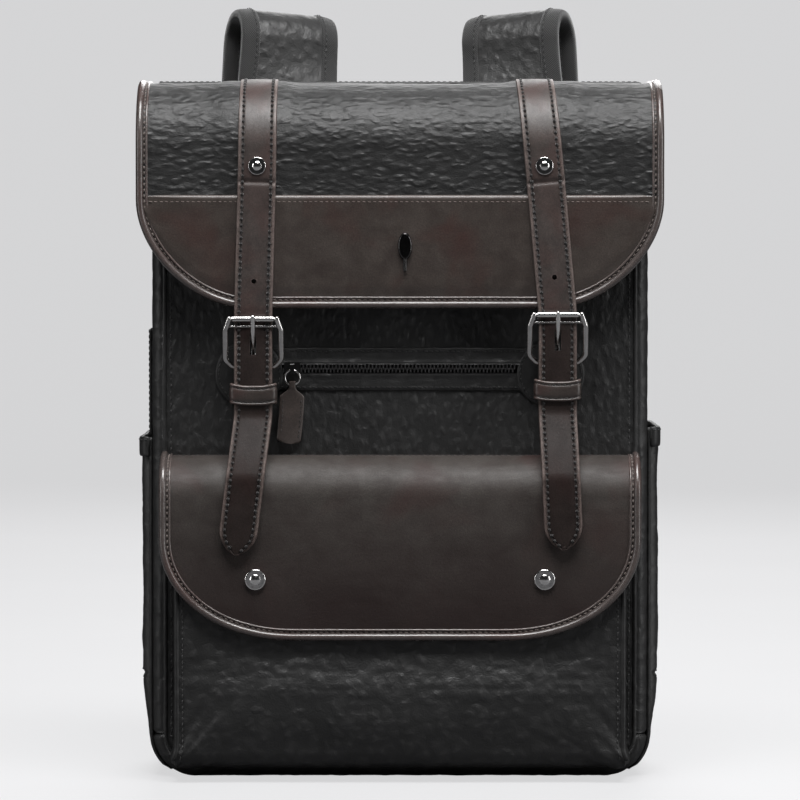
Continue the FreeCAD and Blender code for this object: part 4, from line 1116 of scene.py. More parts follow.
def inner_bag():
    """Lining: walls with soft folds and a floor, closed as one thin cup."""
    low, high = span("lining")
    hx, front, back = high[0], low[1], high[1]
    ring = Bend([(0, front), (hx, front), (hx, back), (-hx, back), (-hx, front), (0, front)], [9.0] * 4, 2.0)
    s = np.linspace(0, ring.length, 260, endpoint=False)
    p, n = ring.at(s)
    centre = np.array([0, (front + back) / 2])
    outward = np.stack([n[:, 0], n[:, 1], 0 * s], -1)
    rows = [(1.0, z) for z in steps(high[2], low[2] + 8, 4.0)]
    rows += [(0.97, low[2] + 2.0)] + [(share, low[2]) for share in (0.9, 0.6, 0.3, 0.02)]
    outer, inner = [], []
    for share, z in rows:
        flat = centre + (p - centre) * share
        around = np.stack([flat[:, 0], flat[:, 1], np.full(len(s), z)], -1)
        if share == 1.0:
            fold = noise(around, (26.0, 26.0, 60.0), 61) * 1.5 - 1.5
            around = around + outward * fold[:, None]
        outer.append(around)
        wall, floor = (0.8 if share > 0.95 else 0.0), (0.8 if share < 1.0 else 0.0)
        inner.append(around - outward * wall + [0, 0, floor])
    count = len(s)
    points = np.concatenate([np.concatenate(outer), np.concatenate(inner)])
    total = len(rows) * count
    faces = grid_faces(len(rows), count, 0, False, True) + grid_faces(len(rows), count, total, True, True)
    faces += [(j, (j + 1) % count, total + (j + 1) % count, total + j) for j in range(count)]
    last = total - count
    faces += [tuple(range(last, total)), tuple(range(total + last, 2 * total))[::-1]]
    height = points[:total, 2]
    flow = np.stack([np.tile(s, len(rows)), height, 0 * height], -1)
    piece = finish_mesh("lining_cup", points, faces, LINING, np.concatenate([flow, flow]))
    place(piece, "bag", "lining_fabric", "lining")


def divider():
    low, high = span("laptop_divider")
    x, z = np.meshgrid(steps(low[0], high[0], 3.0), steps(high[2], low[2], 3.0))
    puff = smooth(np.minimum.reduce([x - low[0], high[0] - x, z - low[2], high[2] - z]) / 16)
    points = np.stack([x, low[1] + 1.4 - puff * 1.2, z], -1)
    quilt = 0.5 * noise(points, (20.0, 9.0, 20.0), 71) * puff
    flow = np.stack([x, z, 0 * x], -1)
    piece = slab("divider_pad", points, 3.4, LINING, facing(TO_FRONT, *x.shape), 2.5, flow, quilt)
    place(piece, "bag", "lining_fabric", "laptop_divider")
    top = level_line(low[0] + 1, high[0] - 1, 3.0, middle("laptop_divider", 1), high[2] - 2.0)
    on_bag(sweep("divider_edge", top, facing(TO_FRONT, len(top)), bean(9.0, 5.6, 3.0, 18), TAPE))


# ---------------------------------------------------------------- front zip and patches

def zip_area():
    low, high = span("zip_tape")
    x, z = np.meshgrid(steps(low[0], high[0], 3.0), steps(high[2], low[2], 1.5))
    points = np.stack([x, np.full(x.shape, low[1]), z], -1)
    flow = np.stack([x, z, 0 * x], -1)
    on_bag(slab("zip_tape_weave", points, 0.8, TAPE, facing(TO_FRONT, *x.shape), 0.3, flow), "zip_tape")
    teeth_low, teeth_high = span("zip_teeth")
    zip_lip("upper", teeth_high[2] + 0.2, teeth_high[2] + 10.4, teeth_high[2] + 8.2, teeth_high[0] + 9)
    zip_lip("lower", teeth_low[2] - 0.2, teeth_low[2] - 11.0, teeth_low[2] - 8.8, teeth_high[0] + 9)


def zip_lip(name, inner, outer, seam, end):
    """One folded leather lip of the zip, from its inner to its outer height, with its row of stitches."""
    x, z = np.meshgrid(steps(-end, end, 2.0), np.sort(steps(inner, outer, 0.9))[::-1])
    near = smooth(1 - np.abs(z - inner) / 4.0)
    wave = noise(np.stack([x, 0 * x, z], -1), (22.0, 9.0, 12.0), 81)
    points = np.stack([x, BODY_FRONT - 0.65 - near * 0.7 - 0.25 * wave, z], -1)
    out = facing(TO_FRONT, *x.shape)
    folds = crinkle((7.0, 9.0, 5.0), 0.4, 83, 3.0)(points, edge_distance(points))
    on_bag(slab(f"zip_lip_{name}", points, 1.1, BLACK, out, 0.7, np.stack([x, z, 0 * x], -1), folds))
    line = level_line(-end, end, 2.0, BODY_FRONT - 0.75, seam)
    on_bag(stitch_row(f"zip_stitches_{name}", line, out[0], BLACK_THREAD, 0.0, 0.15, 3.2, 2.2, 0.3))


def round_patch(name, x, z, back, thick, radius, *nodes):
    """A domed leather disc sewn down near its rim."""
    ring = [0.04, 0.25, 0.5, 0.7, 0.84, 0.9, 0.95, 0.985, 1.0, 1.0]
    rise = [1.0, 1.0, 1.0, 0.98, 0.86, 0.74, 0.82, 0.6, 0.1, 0.0]
    count = 72
    turn = np.arange(count) * 2 * math.pi / count
    wave = 1 + 0.012 * np.sin(turn * 3 + x)
    rows = []
    for share, high in zip(ring, rise):
        reach, y = radius * share * wave, np.full(count, back - high * thick)
        rows.append(np.stack([x + reach * np.cos(turn), y, z + reach * np.sin(turn)], -1))
    points = np.concatenate(rows)
    points[:, 1] -= 0.12 * noise(points, 7.0, 91) * (points[:, 1] < back - 0.3)
    faces = grid_faces(len(ring), count, loop=True)
    faces += [tuple(range(count))[::-1], tuple(range((len(ring) - 1) * count, len(ring) * count))]
    on_bag(finish_mesh(name, points, faces, BLACK_FLAT), *nodes)
    sewn = radius * 0.9
    line = np.stack([x + sewn * np.cos(turn), 0 * turn + back - 0.76 * thick, z + sewn * np.sin(turn)], -1)
    up = facing(TO_FRONT, count)
    on_bag(stitch_row(name + "_stitches", line, up, BLACK_THREAD, 0.0, 0.1, 3.0, 2.1, 0.3))


def anchor_patches():
    """The round patches behind the buckles."""
    low, high = span("anchor_patches")
    radius, z, thick = (high[2] - low[2]) / 2, (high[2] + low[2]) / 2, high[1] - low[1]
    round_patch("anchor_patch_left", low[0] + radius, z, high[1], thick, radius, "anchor_patches")
    round_patch("anchor_patch_right", high[0] - radius, z, high[1], thick, radius)


def pull_tab():
    """Leather zip pull: two plies folded round the ring and sewn together, slightly twisted."""
    low, high = span("zip_pull_tab")
    cx, cy = (low[0] + high[0]) / 2, (low[1] + high[1]) / 2
    ring_low = pivot("zip_tab_swing")[2]
    z = steps(ring_low + 2.3, low[2], 0.8)
    half, neck = (high[0] - low[0]) / 2, 2.0
    down = (z[0] - z) / (z[0] - z[-1])
    width = neck + (half - neck) * smooth((down - 0.10) / 0.16)
    rounded = np.sqrt(np.clip(1 - ((down - 0.93) / 0.075) ** 2, 0.05, 1))
    width = np.where(down > 0.93, width * rounded, width)
    turn = 0.35 * down + 0.05
    path = np.stack([cx - 2.5 * down ** 2, cy + 0 * z, z], -1)
    out = np.stack([np.sin(turn) * 0.8, -np.cos(turn), 0 * z], -1)
    thick = np.where(down < 0.12, 3.4, 2.6)
    sections = np.stack([bean(2 * w, t, 4.5, 28) for w, t in zip(width, thick)])
    piece = sweep("zip_pull_leather", path, out, sections, TAB)
    bore = rod_mesh((cx - 9, cy, ring_low + 0.45), (cx + 9, cy, ring_low + 0.45), 1.45)
    boolean_cut(piece, [bore])
    place(piece, "zip_pull_tab", "strap_leather", "zip_pull_tab")
    _, across, up = frames(path, out)
    keep = (down > 0.27) & (down < 0.93)
    for i, hand in enumerate((-1, 1)):
        rail = (path + across * (width * hand * 0.74)[:, None] + up * 1.28)[keep]
        row = stitch_row(f"zip_pull_stitches_{i}", rail, up[keep], DARK_THREAD, 0.0, 0.0, 3.0, 2.0, 0.27)
        place(row, "zip_pull_tab", "strap_leather")


# ---------------------------------------------------------------- lower pocket

POCKET_LOW, POCKET_HIGH = span("lower_pocket")
PFLAP_LOW, PFLAP_HIGH = span("pocket_flap_binding")
PFLAP_PANEL_LOW, PFLAP_PANEL_HIGH = span("pocket_flap")
POCKET_TURN = 11.0          # radius of the fold from the pocket's front to its underside


def pocket_relief(x, s):
    """The filled front: it swells below the flap and pinches in at the lower corners."""
    z = POCKET_HIGH[2] - POCKET_LOW[2] - s
    across = np.clip(1 - (np.abs(x) / (POCKET_HIGH[0] - 0.5)) ** 4, 0, 1)
    up = smooth(z / 34) * (1 - smooth((z - 44) / 30))
    at = np.stack([x, s, 0 * x], -1)
    lumps = noise(at, (58.0, 40.0, 9.0), 101) * 1.1 * across * up
    aside = POCKET_HIGH[0] - np.abs(x)
    reach = np.hypot(aside, z)
    ridge = np.exp(-(((aside - z) / 9.0) ** 2)) * smooth(1 - reach / 70) * smooth(reach / 12)
    return 5.2 * across * up + lumps + 2.2 * ridge


def pocket_crinkle(points, near):
    """Wrinkles that fan out of the lower corners and run across below the flap; the middle stays smooth."""
    x, z = points[..., 0], points[..., 2]
    across = 0.4 - creases(points, (20.0, 9.0, 6.0), 103, 2) ** 1.6
    span_x = POCKET_HIGH[0] - np.abs(x)
    angle = np.arctan2(z - POCKET_LOW[2] + 6, span_x + 6)
    reach = np.hypot(z - POCKET_LOW[2], span_x)
    fan = np.stack([angle * 30, 0 * angle, reach / 4.0], -1)
    fans = 0.4 - creases(fan + np.sign(x)[..., None] * 50, (5.0, 9.0, 9.0), 105, 2) ** 1.6
    share = smooth(1 - reach / 85)
    band = 0.35 + 1.1 * smooth(1 - np.abs(z - 66) / 24)
    under_flap = 1 - 0.75 * smooth((z - 80) / 8)
    return (across * (1 - share) * band * 0.7 + fans * share * 1.7) * smooth(near / 5) * under_flap


def pinched(piece):
    """Pulls a piece of the lower pocket out at the pocket's two bottom corners."""
    points = points_of(piece)
    share = np.exp(-((points[:, 2] - POCKET_LOW[2] - 4.0) / 6.0) ** 2)
    points[:, 0] *= 1 + 0.016 * share * (np.abs(points[:, 0]) / POCKET_HIGH[0]) ** 6
    move_points(piece, points)
    return piece


def lower_pocket():
    """The box pocket: a front that turns under at its foot, two gussets, a base and a hem."""
    front, bottom = POCKET_LOW[1], POCKET_LOW[2] + 0.4
    bend = Bend([(front, POCKET_HIGH[2]), (front, bottom), (front + 16, bottom)], [POCKET_TURN])
    face = Apron(bend, POCKET_HIGH[0] - 1.2, (3.0, 3.0), (CIRCLE, CIRCLE), pocket_relief)
    panel = face.panel("pocket_front", BLACK, 1.9, 0.5, 0.0, None, pocket_crinkle, pitch=1.3, rounding=1.4)
    on_bag(pinched(panel), "lower_pocket")
    half, back = POCKET_HIGH[0], POCKET_HIGH[1]
    fold = bend.length - 17.0
    z = steps(POCKET_HIGH[2], bottom, 1.8)
    low = np.clip(bottom + POCKET_TURN - z, 0, POCKET_TURN)
    start = front + 0.4 + POCKET_TURN - np.sqrt(POCKET_TURN ** 2 - low ** 2)
    share = np.linspace(0, 1, 18)[None]
    for name, hand in SIDES.items():
        s = steps(0.0, fold, 1.5)
        path, out = face.point(np.full(len(s), hand * face.half), s, -0.5)
        cord = sweep(f"pocket_piping_{name}", path, out, bean(3.0, 3.0, 2.0, 12), BLACK_FLAT, wobble=0.12)
        on_bag(pinched(cord))
        path, out = face.point(np.full(len(s), hand * (face.half - 3.4)), s)
        row = stitch_row(f"pocket_seam_stitches_{name}", path, out, BLACK_THREAD, 0.0, 0.15, 3.4, 2.3, 0.3)
        on_bag(pinched(row))
        flare = -1.1 + 3.6 * share - 1.4 * np.sin(share * math.pi)
        y = start[:, None] + share * (back - start[:, None])
        points = np.stack([hand * (half + flare + 0 * y), y, z[:, None] + 0 * y], -1)
        folds = crinkle((9.0, 9.0, 12.0), 0.8, 107, 4.0, 1.6)(points, edge_distance(points))
        away = facing((hand, 0.0, 0.0), *y.shape)
        on_bag(pinched(slab(f"pocket_gusset_{name}", points, 1.8, BLACK, away, 0.8, None, folds)))
    x, y = np.meshgrid(steps(-half + 1.5, half - 1.5, 4.0), steps(front + 13, back, 3.0))
    points = np.stack([x, y, np.full(x.shape, bottom)], -1)
    on_bag(slab("pocket_base", points, 1.6, BLACK_FLAT, facing(TO_FLOOR, *x.shape), 0.6))
    line = level_line(-half + 2, half - 2, 2.0, front + 0.8, POCKET_HIGH[2] - 6.0)
    up = facing(TO_FRONT, len(line))
    on_bag(sweep("pocket_hem", line, up, bean(13.0, 3.6, 5.0, 24), BLACK_FLAT, wobble=0.2))
    on_bag(stitch_row("pocket_hem_stitches", line, up, BLACK_THREAD, 4.6, 1.85))


def pocket_flap_relief(x, s):
    at = np.stack([x, s, 0 * x], -1)
    wave = noise(at, (70.0, 52.0, 9.0), 111) * 0.9 - 0.9
    quiet = smooth((np.abs(np.abs(x) - 96) - 14) / 18)
    snap = smooth((np.hypot(np.abs(x) - 86.5, s - 104) - 8) / 12)
    return wave * quiet * snap * smooth(s / 20)


def pocket_flap():
    top, front, bottom = PFLAP_PANEL_HIGH[2], PFLAP_PANEL_LOW[1], PFLAP_LOW[2]
    bend = Bend([(PFLAP_PANEL_HIGH[1], top), (front, top), (front, bottom)], [24.0])
    flap = Apron(bend, PFLAP_HIGH[0], (82.0, 60.0), (0.35, 0.5), pocket_flap_relief)
    soft = crinkle((34.0, 26.0, 15.0), 0.42, 113, 22.0, 1.0)
    panel = flap.panel("pocket_flap_sheet", BROWN_LOW, 2.0, PANEL_INSET, 0.4, None, soft, 0.0, 1.5, 1.6)
    place(panel, "pocket_flap", "brown_leather", "pocket_flap")
    flap_binding("pocket_flap_binding", "pocket_flap", flap, 2.9, "pocket_flap_binding")
    x = steps(-PFLAP_HIGH[0] + 8, PFLAP_HIGH[0] - 8, 2.0)
    line, up = flap.point(x, np.full(len(x), 4.0), 0.05)
    row = stitch_row("pocket_flap_stitches", line, up, DARK_THREAD)
    place(row, "pocket_flap", "brown_leather")


# ---------------------------------------------------------------- side pockets

def body_side(z):
    """Half width of the body at a height, with its round lower corner."""
    low = np.clip(CORNER - np.asarray(z, float), 0, CORNER)
    return BODY_HALF - CORNER + np.sqrt(CORNER ** 2 - low ** 2)


SIDE_FOOT, SIDE_SEAM = 4.0, 62.0     # heights of a side pocket's lowest edge and of the seam across it


def side_pocket(name):
    """A soft patch pocket on one side, filled above its seam and flat at its foot."""
    low, high = span(f"side_pocket_{name}")
    hand = SIDES[name]
    proud = max(abs(low[0]), abs(high[0])) - BODY_HALF - 0.3
    y, z = np.meshgrid(steps(low[1], high[1], 1.6), steps(high[2], SIDE_FOOT, 1.6))
    edge = np.minimum.reduce([y - low[1], high[1] - y, (z - SIDE_FOOT) * 0.8])
    rise = np.sqrt(np.clip(1 - (1 - np.clip(edge / 9.0, 0, 1)) ** 2, 0, 1)) * smooth((z - 16) / 44)
    fill = 0.85 + 0.15 * smooth((z - low[2]) / 60)
    lumps = noise(np.stack([z, y, z], -1), (44.0, 40.0, 44.0), 121 + (hand > 0)) * 0.8 * rise
    groove = np.exp(-((z - SIDE_SEAM) / 1.7) ** 2) * 1.5
    x = body_side(z) + 1.9 + (proud - 1.6) * rise * fill + lumps - groove
    points = np.stack([x * hand, y, z], -1)
    out = facing((hand, 0.0, 0.0), *x.shape)
    folds = crinkle((9.0, 9.0, 12.0), 0.8, 123, 6.0, 1.8)(points, edge_distance(points))
    flow = np.stack([y, z, 0 * y], -1)
    sheet = slab(f"side_pocket_sheet_{name}", points, 1.5, BLACK, out, 1.0, flow, folds)
    on_bag(sheet, f"side_pocket_{name}")
    for i, drop in enumerate((-2.2, 2.2)):
        at = int(np.argmin(np.abs(z[:, 0] - SIDE_SEAM - drop)))
        on_bag(stitch_row(f"side_pocket_stitches_{name}_{i}", points[at, 3:-3], out[at, 3:-3], BLACK_THREAD,
                          lift=0.2, pitch=3.4))
    side_pocket_edges(name, points[3], low, high)


def side_pocket_edges(name, hem, low, high):
    """The hem over a side pocket's mouth and the piping down its sides and across its foot."""
    hand = SIDES[name]
    hem = np.stack([hem[:, 0], hem[:, 1], np.full(len(hem), high[2] - 5.5)], -1)
    out = facing((hand, 0.0, 0.0), len(hem))
    section = bean(12.0, 3.4, 5.0, 22)
    on_bag(sweep(f"side_pocket_hem_{name}", hem - out * 0.3, out, section, BLACK_FLAT, wobble=0.2))
    on_bag(stitch_row(f"side_pocket_hem_stitches_{name}", hem, out, BLACK_THREAD, -4.2 * hand, 1.5))
    down = steps(high[2], SIDE_FOOT + 4, 3.0)
    rail = [(body_side(z) + 0.9, low[1] + 0.6, z) for z in down]
    rail += [(body_side(SIDE_FOOT) + 0.9, y, SIDE_FOOT + 0.8) for y in steps(low[1] + 5, high[1] - 5, 3.0)]
    rail += [(body_side(z) + 0.9, high[1] - 0.6, z) for z in down[::-1]]
    rail = even(np.array(rail), 2.0) * [hand, 1, 1]
    out = facing((hand, 0.0, 0.0), len(rail))
    on_bag(sweep(f"side_pocket_piping_{name}", rail, out, bean(2.4, 2.4, 2.0, 10), BLACK_FLAT))


def side_placket():
    """The strip sewn down the left side."""
    low, high = span("side_placket")
    y, z = np.meshgrid(steps(low[1], high[1], 1.2), steps(high[2], low[2], 2.0))
    points = np.stack([np.full(y.shape, low[0] + 0.1), y, z], -1)
    out = facing((-1.0, 0.0, 0.0), *y.shape)
    folds = crinkle((5.0, 5.0, 9.0), 0.35, 131, 3.0)(points, edge_distance(points))
    flow = np.stack([y, z, 0 * y], -1)
    on_bag(slab("side_placket_strip", points, 1.9, BLACK, out, 1.0, flow, folds), "side_placket")
    for i, at in enumerate((2, y.shape[1] - 3)):
        line, up = points[:, at], out[:, at]
        on_bag(stitch_row(f"placket_stitches_{i}", line, up, BLACK_THREAD, lift=0.05, pitch=3.4))


# ---------------------------------------------------------------- back

CLOTH_FRAMES, CLOTH_PRESSURE, CLOTH_CAP = 20, 4.0, 0.010
CLOTH_VOXEL = 0.005


def puffed(piece):
    """Swells a closed cushion with cloth, limits how far each point moves and applies the result."""
    remesh = piece.modifiers.new("remesh", "REMESH")
    remesh.mode, remesh.voxel_size = "VOXEL", CLOTH_VOXEL
    applied = bpy.data.meshes.new_from_object(piece.evaluated_get(bpy.context.evaluated_depsgraph_get()))
    piece.modifiers.clear()
    piece.data = applied
    rest = np.array([v.co for v in applied.vertices])
    cloth = piece.modifiers.new("cloth", "CLOTH")
    cloth.settings.use_pressure = True
    cloth.settings.uniform_pressure_force = CLOTH_PRESSURE
    cloth.settings.effector_weights.gravity = 0
    cloth.settings.quality = 6
    scene = bpy.context.scene
    for frame_number in range(1, CLOTH_FRAMES + 1):
        scene.frame_set(frame_number)
    shown = piece.evaluated_get(bpy.context.evaluated_depsgraph_get())
    moved = np.array([v.co for v in shown.data.vertices])
    piece.modifiers.clear()
    scene.frame_set(1)
    shift = moved - rest
    size = np.linalg.norm(shift, axis=1, keepdims=True)
    shift *= np.minimum(1, CLOTH_CAP / np.maximum(size, 1e-9))
    piece.data.vertices.foreach_set("co", (rest + shift).ravel())


PAD_FOOT, PAD_NOTCH = 96.0, 84.0         # half width of the narrow foot of the padding, and its height
PAD_SEAMS = (136.0, 236.0)
PAD_LOW, PAD_TOP = span("back_padding")


def back_padding():
    """Four air-mesh cushions with sewn channels between them, taped round their edge."""
    wide, base = PAD_TOP[0], PAD_LOW[1]
    first, second = PAD_SEAMS
    bands = [(PAD_LOW[2] + 1, PAD_NOTCH - 1, PAD_FOOT), (PAD_NOTCH + 1, first - 1.5, wide)]
    bands += [(first + 1.5, second - 1.5, wide), (second + 1.5, PAD_TOP[2] - 1, wide)]
    for i, band in enumerate(bands):
        place(back_cushion(i, *band), "bag", "air_mesh", *(("back_padding",) if i == 0 else ()))
    for i, (z, half) in enumerate(((PAD_NOTCH, PAD_FOOT), (first, wide), (second, wide))):
        line = level_line(3 - half, half - 3, 3.0, base + 1.4, z)
        up = facing(TO_BACK, len(line))
        row = stitch_row(f"channel_stitches_{i}", line, up, GRAY_THREAD, lift=0.2, pitch=3.8)
        place(row, "bag", "air_mesh")
    right = [(PAD_FOOT, PAD_LOW[2]), (PAD_FOOT, PAD_NOTCH), (wide, PAD_NOTCH), (wide, PAD_TOP[2])]
    left = [(-x, z) for x, z in right]
    line = even(left[:1] + right + left[::-1], 2.0)
    path = np.stack([line[:, 0], np.full(len(line), base + 1.6), line[:, 1]], -1)
    up = facing(TO_BACK, len(path))
    on_bag(sweep("padding_edge_tape", path, up, bean(5.0, 3.0, 3.0, 14), TAPE, wobble=0.15))
    path = [(0, base + 0.9, z) for z in (PAD_LOW[2] + 4, PAD_NOTCH, PAD_TOP[2] - 3)]
    on_bag(sweep("padding_backing", path, facing(TO_BACK, 3), bean(2 * PAD_FOOT - 6, 1.4, 8.0, 24), TAPE))


def back_cushion(i, low, high, half):
    """One cushion of the padding between two heights."""
    base, inset = PAD_LOW[1], 1.5
    x, z = np.meshgrid(steps(inset - half, half - inset, 2.2), steps(low, high, 2.2))
    edge = np.minimum.reduce([half - inset - np.abs(x), z - low, high - z])
    crown = np.sqrt(np.clip(1 - (1 - np.clip(edge / 15.0, 0, 1)) ** 2, 0, 1))
    lumps = noise(np.stack([x, 0 * x, z], -1), (52.0, 9.0, 38.0), 141 + i) * 0.7 * crown
    y = base + 1.6 + (PAD_TOP[1] - base - 3.6) * crown + lumps
    face = np.stack([x, y, z], -1)
    under = np.stack([x, np.full(x.shape, base + 0.1), z], -1)
    flow = np.stack([x, z, 0 * x], -1)
    pad = closed_sheet(f"back_cushion_{i}", face, under, MESH, flow, flow)
    swell_face(pad, edge)
    return pad


def swell_face(pad, edge):
    """Runs the cloth on a copy, then carries its swell back to the neat grid of the pad's face."""
    copy = pad.copy()
    copy.data = pad.data.copy()
    bpy.context.scene.collection.objects.link(copy)
    puffed(copy)
    points = points_of(copy)
    bpy.data.objects.remove(copy)
    face = points[points[:, 1] > PAD_LOW[1] + 1.0]
    grid = points_of(pad)
    top = grid[:edge.size]
    lift = np.zeros(edge.size)
    batch, neighbours = 2000, 6
    for start in range(0, edge.size, batch):
        here = top[start:start + batch]
        gap = (here[:, None, 0] - face[None, :, 0]) ** 2 + (here[:, None, 2] - face[None, :, 2]) ** 2
        near = np.argsort(gap, axis=1)[:, :neighbours]
        weight = 1 / (np.take_along_axis(gap, near, 1) + 1.0)
        lift[start:start + batch] = (face[near, 1] * weight).sum(1) / weight.sum(1)
    top[:, 1] += np.clip(lift - top[:, 1], -2.0, 5.5) * smooth(edge.ravel() / 6)
    grid[:edge.size] = top
    move_points(pad, grid)


def back_yoke():
    """The panel that covers the sewn ends of the shoulder straps."""
    low, high = span("back_yoke")
    x, z = np.meshgrid(steps(low[0], high[0], 2.0), steps(high[2], low[2], 2.0))
    points = np.stack([x, np.full(x.shape, high[1]), z], -1)
    out = facing(TO_BACK, *x.shape)
    folds = crinkle((12.0, 9.0, 6.0), 0.4, 151, 4.0)(points, edge_distance(points))
    flow = np.stack([x, z, 0 * x], -1)
    on_bag(slab("yoke_panel", points, 1.9, BLACK_FLAT, out, 1.0, flow, folds), "back_yoke")
    for i, height in enumerate((high[2] - 2.4, low[2] + 2.4)):
        line = level_line(low[0], high[0], 2.0, high[1] + 0.05, height)[1:-1]
        on_bag(stitch_row(f"yoke_stitches_{i}", line, out[0, 1:-1], GRAY_THREAD, lift=0.1, pitch=3.8))


def carry_handle():
    """Wrapped loop: padded in the middle, flat where it is sewn to the back."""
    low, high = span("carry_handle")
    cy, radius = (low[1] + high[1]) / 2, (high[1] - low[1]) / 2
    hx, top, bottom = high[0] - radius, high[2], low[2] + radius
    bend = Bend([(-hx, top - 1), (-hx, bottom), (hx, bottom), (hx, top - 1)], [16.0, 16.0], 0.8)
    s = steps(0, bend.length, 1.2)
    p, _ = bend.at(s)
    path = np.stack([p[:, 0], np.full(len(s), cy), p[:, 1]], -1)
    out = facing(TO_BACK, len(s))
    full = smooth((np.minimum(s, bend.length - s) - 10) / 16)
    sections = np.stack([bean(17.0 - 7.4 * f, 3.4 + 5.6 * f, 2.3, 26) for f in full])
    piece = sweep("handle_wrap", path, out, sections, BLACK, wobble=0.25)
    place(piece, "carry_handle", "black_leather", "carry_handle")
    padded = full > 0.98
    row = stitch_row("handle_stitches", path[padded], out[padded], BLACK_THREAD, lift=4.41, pitch=3.4)
    place(row, "carry_handle", "black_leather")


def webbing(name):
    """The lower strap, from its corner tab up into the shoulder pad's foot."""
    hand = SIDES[name]
    foot = np.array([124.0 * hand, 60.5, 34.0])
    head, joined = shoulder_place(name, np.array([[84.0, 145.0], [84.4, 156.0]]))
    way = (head - foot) / np.linalg.norm(head - foot)
    sewn = np.array([120.0 * hand, BODY_BACK + 3.8, 20.0])
    line = eased(even([sewn, foot, foot + way * 20, head, joined], 1.6), 9)
    up = facing(TO_BACK, len(line))
    ribbon = sweep(f"webbing_ribbon_{name}", line, up, bean(25.0, 1.7, 7.0, 22), WEBBING)
    start, end = (line[0][0], head[1], head[2] - 16), (line[0][0], head[1], head[2] + 2)
    place_bent(ribbon, "bag", f"shoulder_strap_{name}", start, end, "webbing", f"webbing_{name}")


def corner_tab(name):
    """The leather that holds the webbing's lower end to the back's corner."""
    v, u = np.meshgrid(np.linspace(0, 1, 16), np.linspace(0, 1, 18))
    left, right = 100 + 12 * v, 130 + 6 * v
    x = (left + (right - left) * u) * SIDES[name]
    points = np.stack([x, np.full(x.shape, BODY_BACK + 2.7), 10 + 22 * v], -1)
    out = facing(TO_BACK, *u.shape)
    flow = np.stack([x, points[..., 2], 0 * x], -1)
    leather = slab(f"corner_tab_{name}", points, 2.2, BLACK_FLAT, out, 1.0, flow)
    on_bag(leather, *(("webbing_tabs",) if name == "left" else ()))
    for i, at in enumerate((1, -2)):
        row = stitch_row(f"corner_tab_stitches_{name}_{i}", points[at], out[at], GRAY_THREAD, 0.0, 0.1, 3.4)
        on_bag(row)


# ---------------------------------------------------------------- shoulder straps

# (y, z) of a shoulder strap from the yoke, over its crown, down to its foot, in the strap's own plane
PAD_POINTS = [(67.5, 376.0), (79.0, 464.0), (113.6, 464.0), (96.0, 300.0), (84.0, 150.0)]
PAD_PATH = Bend(PAD_POINTS, [17.0, 17.0, 90.0], 1.0)
PAD_HALF = 31.5
FACE_BASE, FACE_CROWN = 1.7, 2.5         # outer face of the pad: height at its edge and its swell
UNDER_BASE, UNDER_CROWN = 1.6, 1.4       # the same for the side that lies on the back
FOOT_BACK = 10.5
CROWN_LOCAL = np.array([94.0, 468.0])


def shoulder_axes(name):
    """A strap's joint, and the directions across it, backwards and upwards."""
    joint = JOINTS[f"shoulder_strap_flex_{name}"]
    across = np.array(joint["axis"], float)
    across /= np.linalg.norm(across)
    up = np.array([-across[2], 0.0, across[0]])
    up /= np.linalg.norm(up)
    return np.array(joint["pos_m"]) / MM, across, np.cross(up, across), up


def shoulder_place(name, p):
    """World points from (y, z) points in the strap's own plane."""
    origin, _, back, up = shoulder_axes(name)
    return origin + back * (p[..., :1] - CROWN_LOCAL[0]) + up * (p[..., 1:] - CROWN_LOCAL[1])


def pad_crown(across, half):
    """How full the shoulder pad is, from 0 at its edge to 1 in its middle."""
    return np.sqrt(np.clip(1 - np.abs(across / half) ** 4.5, 0, 1))


def tape_sections(half, hand, width=11.0):
    """Sections of the binding that wraps one edge of the pad."""
    from_edge = np.array([width, width - 0.6, 8.0, 5.0, 3.0, 1.6, 0.7, 0.2])
    sections = []
    for h in half:
        crown = pad_crown(h - 0.8 - from_edge, h - 0.8)
        x = (h + 0.3 - from_edge) * hand
        top = np.stack([x, FACE_BASE + FACE_CROWN * crown + 0.75], 1)
        top[0, 1] -= 0.8
        under = np.stack([x, -UNDER_BASE - UNDER_CROWN * crown - 0.7], 1)[::-1]
        sections.append(np.vstack([top, under]))
    return np.array(sections)


def shoulder_line(name):
    """Distances along a strap, its middle line, its outward directions and its half width."""
    _, _, back, up = shoulder_axes(name)
    s = steps(-10.0, PAD_PATH.length, 2.0)
    p, n = PAD_PATH.at(s)
    path = shoulder_place(name, p)
    out = -(back * n[:, :1] + up * n[:, 1:])
    # the foot lies flat on the yoke and the strap turns outwards as it rises
    risen = np.where(s < PAD_PATH.length * 0.25, smooth((p[:, 1] - 384) / 62), 1.0)[:, None]
    path = path - (1 - risen) * [0, FOOT_BACK, 0]
    out = out * risen + (1 - risen) * [0.0, -1.0, 0.0]
    out /= np.linalg.norm(out, axis=1, keepdims=True)
    rising = np.arange(1, len(s) + 1) < len(s) * 0.3
    half = np.where(rising, PAD_HALF, np.interp(p[:, 1], [140.0, 230.0], [21.0, PAD_HALF]))
    return s, path, out, half - 6.0 * smooth((s - PAD_PATH.length + 12) / 12)


def pad_sections(s, half):
    """Sections of the padded core: crowned on both sides, with a slow rise and fall along the strap."""
    crease = noise(np.stack([s, 0 * s, 0 * s], -1), (16.0, 9.0, 9.0), 161)
    u = np.concatenate([np.linspace(-1, 1, 26), np.linspace(1, -1, 26)[1:-1]])
    on_face = np.arange(len(u)) < 26
    crown = pad_crown(u, 1.0)
    under = -UNDER_BASE - UNDER_CROWN * crown
    sections = []
    for h, c in zip(half, crease):
        height = np.where(on_face, FACE_BASE + FACE_CROWN * crown + 0.25 * c, under)
        sections.append(np.stack([u * (h - 0.8), height], 1))
    return np.array(sections)


